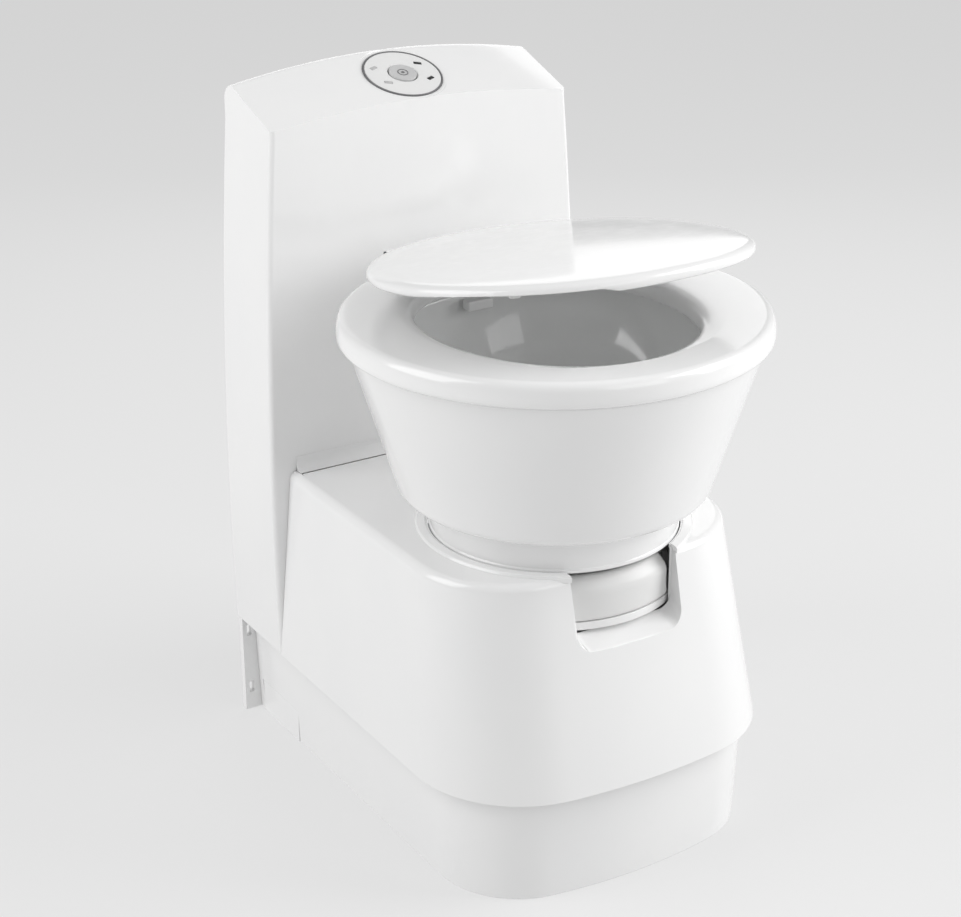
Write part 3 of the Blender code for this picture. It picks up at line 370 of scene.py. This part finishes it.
def console_plan(z, inset, rear_y):
    """The console's outline at one height, its front corners rounded."""
    s = CONSOLE_CORNER_Z - z
    half = CONSOLE_TOP_HALF + 0.083 * s - 0.0874 * s * s
    if z > CONSOLE_CORNER_Z:
        half = CONSOLE_TOP_HALF
    half -= inset
    front = 0.185 + REAR_LEAN * (z - SEAM_Z) + inset
    radius = 0.006
    plan = arc((half - radius, front + radius), radius, 0.0, -math.pi / 2, 6)
    plan += [(half * u, front) for u in (0.75, 0.5, 0.25, 0.0, -0.25, -0.5, -0.75)]
    plan += arc((radius - half, front + radius), radius, -math.pi / 2, -math.pi, 6)
    plan += [(-half, rear_y), (half, rear_y)]
    return [(x, y, z) for x, y in plan]


def console_top(drop):
    """The space above the console's crowned top, as a tool shape."""
    bm = bmesh.new()
    bmesh.ops.create_grid(bm, x_segments=48, y_segments=48, size=1.0)
    for corner in bm.verts:
        u = corner.co.x * 1.15
        y = 0.150 + (corner.co.y + 1) * 0.085
        front = FRONT_TOP_Z - CROWN_FRONT * u * u
        crest = CREST_Z - CROWN_REAR * u * u
        z = front + (crest - front) * (y - FRONT_TOP_Y) / (CREST_Y - FRONT_TOP_Y)
        if y > CREST_Y:
            t = min((y - CREST_Y) / ROLL, 1.0)
            z = crest - ROLL * (1 - math.sqrt(1 - t * t)) * 0.95
        corner.co = (u * CONSOLE_TOP_HALF, y, z - drop)
    grown = bmesh.ops.extrude_face_region(bm, geom=bm.faces[:])["geom"]
    lifted = [v for v in grown if isinstance(v, bmesh.types.BMVert)]
    for corner in lifted:
        corner.co.z = 0.95
    return settle(bm, "above_console")


def on_panel(bm):
    """Lay a shape made flat at the origin on the console's slope."""
    z = FRONT_TOP_Z + (PANEL_Y - FRONT_TOP_Y) * math.tan(SLOPE)
    place = Matrix.Translation((0, PANEL_Y, z)) @ Matrix.Rotation(SLOPE, 4, "X")
    bmesh.ops.transform(bm, matrix=place, verts=bm.verts)
    return bm


levels = [SEAM_Z, 0.20, 0.28, 0.36, 0.44, 0.52, 0.60, 0.68, 0.74, 0.84]
console = settle(lofted([console_plan(z, 0.0, CONSOLE_REAR) for z in levels]), "console")
carve(console, console_top(0.0))
inside = settle(lofted([console_plan(z, COVER_SKIN, CONSOLE_REAR - 0.006) for z in
                        [SEAM_Z - 0.05] + levels[1:]]), "console_space")
carve(inside, console_top(COVER_SKIN))
carve(console, inside)
for low, high in (((-0.178, 0.28, SEAM_Z - 0.05), (0.178, 0.33, 0.755)),
                  ((-0.178, 0.17, SEAM_Z - 0.05), (0.178, 0.2, 0.262)),
                  ((-0.193, 0.17, SEAM_Z - 0.05), (0.193, 0.2, 0.153))):
    carve(console, settle(block(low, high), "opening"))
dish = [(0.0, -0.0008), (PANEL_R + 0.0045, -0.0008), (PANEL_R + 0.0056, 0.0),
        (PANEL_R + 0.0060, 0.012), (0.0, 0.012)]
carve(console, settle(on_panel(turned(dish)), "dish"))
well = [(0.0, -0.03), (PANEL_R + 0.0003, -0.03), (PANEL_R + 0.0003, 0.03), (0.0, 0.03)]
carve(console, settle(on_panel(turned(well)), "well"))
ease(console, 0.0045, 4, 28)
fit(console, white_moulding, "base", "white_gloss", "console_shell")

# ------------------------------------------------------------------ rear frame
# The console's back is a flat white frame that is screwed to the wall.  Two legs
# reach down beside the way out of the waste tank, each with two upright slots.
PANEL_FACE = 0.2945
LEG = 0.205
outline = [(-LEG, 0.0), (-0.168, 0.0), (-0.168, 0.2400), (0.168, 0.2400), (0.168, 0.0),
           (LEG, 0.0), (LEG, SEAM_Z - 0.001), (0.177, SEAM_Z - 0.001), (0.177, 0.754),
           (-0.177, 0.754), (-0.177, SEAM_Z - 0.001), (-LEG, SEAM_Z - 0.001)]
back = drawn([(x, PANEL_FACE, z) for x, z in outline], (0, CONSOLE_REAR - PANEL_FACE, 0))
wall_frame = settle(back, "wall_frame")
window = turned([(0.0, -0.02), (0.034, -0.02), (0.034, 0.02), (0.0, 0.02)], 64)
bmesh.ops.rotate(window, matrix=Matrix.Rotation(math.pi / 2, 3, "X"), verts=window.verts)
bmesh.ops.translate(window, vec=(0.105, 0.300, 0.600), verts=window.verts)
carve(wall_frame, settle(window, "filler_window"))
for x in (-0.196, 0.196):
    for z in (0.030, 0.108):
        carve(wall_frame, settle(block((x - 0.003, 0.28, z - 0.007), (x + 0.003, 0.32, z + 0.007)),
                                 "leg_slot"))
for low, high in (((-0.150, 0.3015, 0.270), (0.150, 0.32, 0.274)),
                  ((-0.150, 0.3015, 0.700), (0.150, 0.32, 0.704))):
    carve(wall_frame, settle(block(low, high), "rib_groove"))
ease(wall_frame, 0.0010, 2)
fit(wall_frame, white_moulding, "base", "white_gloss", "rear_panel")

# -------------------------------------------------------------- control panel
# A round film-covered disc sits in a dish in the sloping top, inside a thin dark
# ring.  It has a sprung flush button in the middle, two dark lamps, and two
# symbols printed in grey.
panel_film = plastic("panel_film", (0.800, 0.800, 0.795), (0.770, 0.772, 0.772),
                     0.28, 0.42, 0.10, grain=900.0)
button_satin = plastic("button_satin", (0.56, 0.56, 0.56), (0.52, 0.52, 0.525),
                       0.30, 0.45, 0.12, grain=900.0)
ring_grey = plastic("ring_grey", (0.16, 0.16, 0.165), (0.12, 0.12, 0.125), 0.30, 0.45, 0.10)
lamp_black = plastic("lamp_black", (0.016, 0.016, 0.018), (0.010, 0.010, 0.011),
                     0.12, 0.24, 0.05, coat=0.4)
print_grey = plastic("print_grey", (0.50, 0.50, 0.50), (0.45, 0.45, 0.45), 0.35, 0.5, 0.08)

ring = [(PANEL_R - 0.0018, -0.0025), (PANEL_R, -0.0025), (PANEL_R, 0.0000)]
ring += arc((PANEL_R - 0.0006, 0.0002), 0.0006, 0.0, math.pi / 2, 3)
ring += arc((PANEL_R - 0.0012, 0.0002), 0.0006, math.pi / 2, math.pi, 3)
bezel = settle(on_panel(turned(ring)), "panel_ring")
fit(bezel, ring_grey, "base", "mid_grey", "control_bezel")

disc_r = PANEL_R - 0.0021
disc = [(0.0168, -0.0028), (disc_r, -0.0028), (disc_r, -0.0006)]
disc += arc((disc_r - 0.0008, -0.0004), 0.0008, 0.0, math.pi / 2, 4)
disc += [(0.030, 0.0006), (0.0188, 0.0006)] + arc((0.0182, 0.0000), 0.0006, math.pi / 2, math.pi, 3)
disc += [(0.0168, -0.0008)]
film = settle(on_panel(turned(disc)), "panel_disc")
LAMPS = (("tank_full_lamp", 0.0270, 0.0150, -22, lamp_black),
         ("water_low_lamp", 0.0270, -0.0165, 24, lamp_black),
         ("power_lamp", -0.0285, 0.0165, 20, print_grey),
         ("flush_lamp", -0.0255, -0.0140, -24, print_grey))
for word, x, along, turn, finish in LAMPS:
    lens = block((-0.0046, -0.0026, -0.0026), (0.0046, 0.0026, 0.00085), 0.0009, 3)
    bmesh.ops.rotate(lens, matrix=Matrix.Rotation(math.radians(turn), 3, "Z"), verts=lens.verts)
    bmesh.ops.translate(lens, vec=(x, along, 0), verts=lens.verts)
    seat_hole = lens.copy()
    bmesh.ops.scale(seat_hole, vec=(1.0, 1.0, 3.0), verts=seat_hole.verts)
    bmesh.ops.scale(seat_hole, vec=(1.04, 1.06, 1.0), space=Matrix.Translation((-x, -along, 0)),
                    verts=seat_hole.verts)
    carve(film, settle(on_panel(seat_hole), "lamp_hole"))
    fit(settle(on_panel(lens), word + "_lens"), finish, "base", "black_plastic", word)
ease(film, 0.0002, 2)
fit(film, panel_film, "base", "panel_grey", "control_panel")

button = [(0.0, -0.0010), (0.0160, -0.0010), (0.0160, 0.0008)]
button += arc((0.0150, 0.0008), 0.0010, 0.0, math.pi / 2, 4)
button += [(0.0120, 0.00165), (0.0080, 0.00145), (0.0, 0.0014)]
key = settle(on_panel(turned(button, 96)), "flush_key")
fit(key, button_satin, "button", "light_grey", "flush_button")
drop = turned([(0.0052, 0.0012), (0.0062, 0.0012), (0.0062, 0.00175), (0.0052, 0.00175)], 48)
mark = settle(on_panel(drop), "key_ring_mark")
fit(mark, ring_grey, "button", "mid_grey")
dot = turned([(0.0, 0.0012), (0.0020, 0.0012), (0.0020, 0.00175), (0.0, 0.00175)], 32)
fit(settle(on_panel(dot), "key_dot_mark"), ring_grey, "button", "mid_grey")

# ------------------------------------------------------------------------ bowl
# The bowl turns on its neck.  Outside it is a white cone with a turned-in foot
# above the neck, and inside it is a glazed china inlay that falls to the outlet.
china = plastic("china_glaze", (0.885, 0.890, 0.885), (0.865, 0.872, 0.870), 0.05, 0.11,
                0.012, coat=0.5, grain=120.0)
shell = [(0.0560, 0.3608), (0.1285, 0.3608), (0.1285, 0.3530), (0.1344, 0.3530), (0.1352, 0.3540),
         (0.1350, 0.3565), (0.1338, 0.3580), (0.1340, 0.3720), (0.1346, 0.3885),
         (0.1330, 0.3905), (0.1330, 0.3925)]
shell += [(0.1400, 0.3932), (0.1500, 0.3943), (0.1590, 0.3957)]
shell += arc((0.1545, 0.4110), 0.0153, -1.25, -0.30, 8)
shell += [(0.1692 + 0.310 * (z - 0.4070), z) for z in (0.4080, 0.44, 0.48, 0.52, 0.5645)]
shell += [(0.2178, 0.5664), (0.2168, 0.5670), (0.2130, 0.5670), (0.2125, 0.5595), (0.1900, 0.5595),
          (0.1900, 0.5555), (0.2112, 0.5555), (0.1655, 0.4085), (0.1622, 0.4022),
          (0.1575, 0.3994), (0.1490, 0.3985), (0.1270, 0.3968), (0.1270, 0.3660),
          (0.0560, 0.3660)]
bowl = settle(turned(shell, 160, centre=(0, AXIS_Y)), "bowl_outside", 30)
ease(bowl, 0.0005, 2)
fit(bowl, white_moulding, "bowl", "white_gloss", "bowl_shell")

inlay = [(0.0450, 0.3933), (0.0490, 0.3933), (0.0530, 0.4020), (0.0660, 0.4120), (0.0940, 0.4270),
         (0.1245, 0.4510), (0.1500, 0.4870), (0.1655, 0.5280), (0.1735, 0.5598), (0.2120, 0.5598)]
inlay += [(0.2120, 0.5640)] + arc((0.2105, 0.5640), 0.0015, 0.3, math.pi / 2, 3)
inlay += arc((0.1725, 0.5610), 0.0045, math.pi / 2, math.radians(170), 6)
inside = [(0.1672, 0.5560), (0.1652, 0.5450), (0.1608, 0.5280), (0.1545, 0.5090),
          (0.1460, 0.4905), (0.1350, 0.4730), (0.1215, 0.4570), (0.1070, 0.4440),
          (0.0920, 0.4335), (0.0770, 0.4250), (0.0640, 0.4180), (0.0545, 0.4110),
          (0.0485, 0.4040), (0.0455, 0.3975)]
basin = settle(turned(inlay + inside, 128, centre=(0, AXIS_Y)), "china_basin", 50)
fit(basin, china, "bowl", "ceramic", "bowl_inlay")

# ------------------------------------------------------------------------ seat
# The seat is a broad white ring, slightly wider than deep, with a soft upper
# edge, an upright rim, and ears at the back that turn on the hinge pin.
seat_white = plastic("seat_white", (0.890, 0.890, 0.888), (0.872, 0.873, 0.874), 0.12, 0.19,
                     0.014, coat=0.2)
SEAT_X = 0.229
SEAT_Y = 0.2255
SEAT_LOW = 0.568
SEAT_TOP = 0.594
HOLE_X = 0.142
HOLE_Y = 0.161
HINGE_Y = 0.134
HINGE_Z = 0.6045
OVAL_STEPS = 144


def oval(half_x, half_y, middle, z):
    """A ring of points round an oval, starting at the front."""
    return [(half_x * math.sin(2 * math.pi * i / OVAL_STEPS),
             middle - half_y * math.cos(2 * math.pi * i / OVAL_STEPS), z)
            for i in range(OVAL_STEPS)]


def hinge_barrel(radius, low_x, high_x):
    """A short round barrel on the axis of the hinge pin."""
    bm = turned([(0.0, low_x), (radius, low_x), (radius, high_x), (0.0, high_x)], 40)
    bmesh.ops.rotate(bm, matrix=Matrix.Rotation(math.pi / 2, 3, "Y"), verts=bm.verts)
    bmesh.ops.translate(bm, vec=(0, HINGE_Y, HINGE_Z), verts=bm.verts)
    return settle(bm, "barrel")


rings = [oval(HOLE_X + 0.004, HOLE_Y + 0.004, AXIS_Y, SEAT_LOW)]
rings += [oval(SEAT_X - d, SEAT_Y - d, AXIS_Y, SEAT_LOW + h) for d, h in
          ((0.006, 0.0), (0.0030, 0.0004), (0.0010, 0.0018), (0.0002, 0.0040), (0.0, 0.0080),
           (0.0006, 0.0140), (0.0016, 0.0185), (0.0028, 0.0215), (0.0048, 0.0240),
           (0.0078, 0.0255), (0.0120, 0.0260), (0.0300, 0.0259), (0.0480, 0.0255))]
rings += [oval(HOLE_X + d, HOLE_Y + d, AXIS_Y, SEAT_TOP - h) for d, h in
          ((0.0200, 0.0016), (0.0110, 0.0030), (0.0052, 0.0052), (0.0020, 0.0085),
           (0.0004, 0.0130), (0.0, 0.0180), (0.0012, 0.0230))]
seat = settle(lofted(rings, closed=True), "seat_ring", 50)
carve(seat, settle(block((-0.0562, 0.1200, 0.55), (0.0562, 0.17, 0.62), 0.002), "hinge_gap"))
for side in (1, -1):
    low_x, high_x = sorted((side * 0.0575, side * 0.0695))
    carve(seat, settle(block((low_x, 0.1262, 0.5850), (high_x, 0.1418, HINGE_Z + 0.001)),
                       "ear"), "UNION")
    carve(seat, hinge_barrel(0.0078, low_x, high_x), "UNION")
ease(seat, 0.0006, 2, 40)
fit(seat, seat_white, "seat", "seat_white", "seat")

# ------------------------------------------------------------------------- lid
# The lid is a thin oval dish, upside down.  It stands a little open on two arms
# that turn on the same pin as the seat, and two small pale feet are inside its rim.
LID_TILT = math.radians(8.8)
LID_HALF = 0.192
LID_LENGTH = 0.386
LID_REAR = HINGE_Y - 0.016
LID_BASE = HINGE_Z + 0.0045
LID_MIDDLE = LID_REAR - LID_LENGTH / 2
FULLNESS = 2.6          # of the oval where the grip lip is, at the front right

dish = [(0.0, 0.0138), (0.0960, 0.0135), (0.1320, 0.0118), (0.1620, 0.0102), (0.1760, 0.0088),
        (0.1790, 0.0060), (0.1798, 0.0015), (0.1820, 0.0), (0.1870, 0.0), (0.1898, 0.0008),
        (0.1915, 0.0028), (LID_HALF, 0.0060), (0.1914, 0.0088), (0.1896, 0.0112),
        (0.1860, 0.0132), (0.1800, 0.0146), (0.1660, 0.0158), (0.1420, 0.0167),
        (0.0960, 0.0176), (0.0, 0.0182)]
shell = turned(dish, 160)
for corner in shell.verts:
    reach = corner.co.xy.length
    if reach > 0.05 and corner.co.x > 0 and corner.co.y < 0:
        full = (abs(corner.co.x / reach) ** FULLNESS + abs(corner.co.y / reach) ** FULLNESS)
        corner.co.xy *= full ** (-1 / FULLNESS)
    thin = min(max((-0.045 - corner.co.x) / 0.016, 0.0), 1.0)
    thin *= min(max((-0.030 - corner.co.y) / 0.080, 0.0), 1.0)
    if reach > 0.175 and corner.co.z < 0.0055:
        corner.co.z += thin * (0.0055 - corner.co.z) * 0.85
bmesh.ops.scale(shell, vec=(1.0, LID_LENGTH / 2 / LID_HALF, 1.0), verts=shell.verts)
bmesh.ops.translate(shell, vec=(0, LID_MIDDLE - HINGE_Y, LID_BASE - HINGE_Z), verts=shell.verts)
bmesh.ops.rotate(shell, matrix=Matrix.Rotation(-LID_TILT, 3, "X"), verts=shell.verts)
bmesh.ops.translate(shell, vec=(0, HINGE_Y, HINGE_Z), verts=shell.verts)
lid = settle(shell, "lid_shell", 60)
for side in (1, -1):
    low_x, high_x = sorted((side * 0.0712, side * 0.0828))
    turn = Matrix.Rotation(-LID_TILT, 4, "X")
    hinge = Vector((0, HINGE_Y, HINGE_Z))
    side_view = [(HINGE_Y - 0.045, LID_BASE - 0.001), (HINGE_Y - 0.045, LID_BASE + 0.005),
                 (HINGE_Y - 0.004, LID_BASE + 0.0045), (HINGE_Y + 0.004, HINGE_Z + 0.0065),
                 (HINGE_Y + 0.004, HINGE_Z), (HINGE_Y - 0.008, HINGE_Z)]
    tilted = [turn @ (Vector((low_x, y, z)) - hinge) + hinge for y, z in side_view]
    carve(lid, settle(drawn(tilted, (high_x - low_x, 0, 0)), "arm"), "UNION")
    carve(lid, hinge_barrel(0.0076, low_x, high_x), "UNION")
ease(lid, 0.0006, 2, 40)
fit(lid, seat_white, "lid", "seat_white", "lid")

# ----------------------------------------------------------------------- lever
# The grey lever in the notch is a curved grip that runs round the neck.  Under
# it lies the ring that carries it, and a white ledge guides both.
LEVER_OUT = 0.137
LEVER_IN = 0.1185
LEVER_LOW = 0.297
LEVER_HIGH = 0.345
LEVER_HALF = math.radians(28.5)
lever_grey = plastic("lever_grey", (0.760, 0.760, 0.755), (0.735, 0.735, 0.730), 0.30, 0.44, 0.10,
                     grain=700.0)
grip = arc((LEVER_IN + 0.003, LEVER_LOW + 0.003), 0.003, math.pi, 1.5 * math.pi, 3)
grip += arc((LEVER_OUT - 0.0045, LEVER_LOW + 0.0045), 0.0045, 1.5 * math.pi, 2 * math.pi, 4)
grip += [(LEVER_OUT - 0.0003, 0.3100), (LEVER_OUT - 0.0006, 0.3180), (LEVER_OUT - 0.0003, 0.3260)]
grip += [(LEVER_OUT - 0.0010, 0.3305), (LEVER_OUT - 0.0030, 0.3345), (LEVER_OUT - 0.0070, 0.3395),
         (LEVER_OUT - 0.0110, 0.3435), (LEVER_OUT - 0.0135, LEVER_HIGH)]
grip += arc((LEVER_IN + 0.003, LEVER_HIGH - 0.003), 0.003, math.pi / 2, math.pi, 3)
lever = settle(turned(grip, 48, 2 * LEVER_HALF, (0, AXIS_Y), -math.pi / 2 - LEVER_HALF),
               "lever_grip")
ease(lever, 0.0030, 3, 50)
fit(lever, lever_grey, "lever", "light_grey", "valve_lever")
CHEEK_NEAR = math.radians(28.0)
CHEEK_FAR = math.radians(36.0)
cheek = [(0.1388, 0.2640), (0.1420, 0.2640), (0.1420, 0.3520), (0.1388, 0.3520)]
for word, start in (("right", -math.pi / 2 + CHEEK_NEAR), ("left", -math.pi / 2 - CHEEK_FAR)):
    wall = settle(turned(cheek, 10, CHEEK_FAR - CHEEK_NEAR, (0, AXIS_Y), start),
                  "notch_cheek_" + word)
    fit(wall, white_moulding, "base", "white_gloss")

# ---------------------------------------------------- pieces kept as they are
# The rest of the toilet is simple mouldings, turned parts and fixings.  They
# keep their own shapes, with eased edges and the finish of what they are.
finishes = {
    "white_gloss": white_moulding,
    "seat_white": seat_white,
    "ceramic": china,
    "light_grey": lever_grey,
    "mid_grey": plastic("mid_grey", (0.40, 0.41, 0.42), (0.35, 0.36, 0.37), 0.36, 0.52, 0.15),
    "panel_grey": panel_film,
    "black_plastic": plastic("black_plastic", (0.030, 0.030, 0.032), (0.020, 0.020, 0.022),
                             0.32, 0.50, 0.22, grain=600.0),
    "rubber": plastic("rubber", (0.040, 0.040, 0.040), (0.028, 0.028, 0.028), 0.60, 0.80, 0.30,
                      grain=500.0),
    "hose_grey": plastic("hose_grey", (0.34, 0.35, 0.36), (0.29, 0.30, 0.31), 0.45, 0.60, 0.15),
    "tank_grey": plastic("tank_grey", (0.50, 0.52, 0.55), (0.45, 0.47, 0.50), 0.40, 0.58, 0.30,
                         grain=260.0),
    "steel": plastic("zinc_steel", (0.62, 0.62, 0.63), (0.52, 0.52, 0.54), 0.22, 0.40, 0.12,
                     metallic=1.0),
    "board_green": plastic("solder_mask", (0.04, 0.22, 0.10), (0.03, 0.17, 0.08), 0.25, 0.40,
                           0.20),
    "water_tank": plastic("natural_tank", (0.76, 0.79, 0.81), (0.71, 0.74, 0.77), 0.30, 0.48,
                          0.25, grain=260.0),
}
slot_of = {entry["node"]: entry["material_slot"] for entry in frame["record"]["subparts"]}
REPLACED = {"plinth", "base_cover", "console_shell", "rear_panel", "control_bezel",
            "control_panel", "flush_button", "tank_full_lamp", "water_low_lamp", "power_lamp",
            "flush_lamp", "bowl_shell", "bowl_inlay", "seat", "lid", "valve_lever"}
SMALL = {"hinge_pin", "wheel_axle", "button_spring", "control_board", "flush_hose"}
for name, node in frame["nodes"].items():
    if name in REPLACED:
        continue
    node.data.materials.clear()
    node.data.materials.append(finishes[slot_of[name]])
    weld = node.modifiers.new("weld", "WELD")
    weld.merge_threshold = 0.00001
    if name not in SMALL:
        ease(node, 0.0005, 2, 40)

# ---------------------------------------------------------------------- studio
# A pale floor, a soft sky all round, a tall soft light at each side and weaker
# ones behind and in front, so that soft reflections draw the white mouldings.
floor_paint = bpy.data.materials.new("studio_floor")
floor_paint.use_nodes = True
matt = floor_paint.node_tree.nodes["Principled BSDF"]
matt.inputs["Base Color"].default_value = (0.26, 0.26, 0.26, 1.0)
matt.inputs["Roughness"].default_value = 1.0
matt.inputs["Specular IOR Level"].default_value = 0.0
matt.inputs["Emission Color"].default_value = (1.0, 1.0, 1.0, 1.0)
matt.inputs["Emission Strength"].default_value = 0.55
ground = bmesh.new()
bmesh.ops.create_grid(ground, x_segments=2, y_segments=2, size=14.0)
floor = settle(ground, "studio_floor")
floor.data.materials.append(floor_paint)

sky = bpy.data.worlds.new("studio")
bpy.context.scene.world = sky
sky.use_nodes = True
air = sky.node_tree
glow = air.nodes["Background"]
glow.inputs["Strength"].default_value = 0.36
backdrop = air.nodes.new("ShaderNodeBackground")
backdrop.inputs["Strength"].default_value = 0.78
path = air.nodes.new("ShaderNodeLightPath")
choose = air.nodes.new("ShaderNodeMixShader")
for source in (glow, backdrop):
    source.inputs["Color"].default_value = (1.0, 1.0, 1.0, 1.0)
air.links.new(path.outputs["Is Camera Ray"], choose.inputs["Fac"])
air.links.new(glow.outputs["Background"], choose.inputs[1])
air.links.new(backdrop.outputs["Background"], choose.inputs[2])
air.links.new(choose.outputs["Shader"], air.nodes["World Output"].inputs["Surface"])


def lamp(name, at, aim, width, height, power):
    """A rectangular soft light turned to face a point."""
    light = bpy.data.lights.new(name, "AREA")
    light.shape = "RECTANGLE"
    light.size = width
    light.size_y = height
    light.energy = power
    holder = bpy.data.objects.new(name, light)
    bpy.context.scene.collection.objects.link(holder)
    holder.visible_camera = False
    holder.location = at
    holder.rotation_euler = (Vector(aim) - Vector(at)).to_track_quat("-Z", "Y").to_euler()


lamp("left_box", (-2.2, 0.5, 1.9), (0, 0, 0.45), 1.8, 2.4, 40.0)
lamp("right_box", (2.2, -1.3, 1.9), (0, 0, 0.45), 1.8, 2.4, 66.0)
lamp("back_box", (1.1, 1.9, 1.35), (0, 0, 0.6), 1.6, 1.2, 6.5)
lamp("front_box", (0.35, -2.2, 1.55), (0, 0, 0.5), 1.2, 1.2, 6.4)

yaw = math.radians(31.32)
pitch = math.radians(22.92)
roll = math.radians(-0.28)
ahead = Vector((math.sin(yaw) * math.cos(pitch), math.cos(yaw) * math.cos(pitch),
                -math.sin(pitch)))
right = Vector((math.cos(yaw), -math.sin(yaw), 0.0))
up = right.cross(ahead)
level_right = right * math.cos(roll) + up * math.sin(roll)
level_up = up * math.cos(roll) - right * math.sin(roll)
lens = bpy.data.cameras.new("camera")
lens.sensor_fit = "HORIZONTAL"
lens.sensor_width = 36.0
lens.lens = 79.83
camera = bpy.data.objects.new("camera", lens)
bpy.context.scene.collection.objects.link(camera)
stance = Matrix((level_right, level_up, -ahead)).transposed().to_4x4()
stance.translation = Vector((-1.1552, -1.8253, 1.3097))
camera.matrix_world = stance
bpy.context.scene.camera = camera
bpy.context.scene.view_settings.view_transform = "Standard"
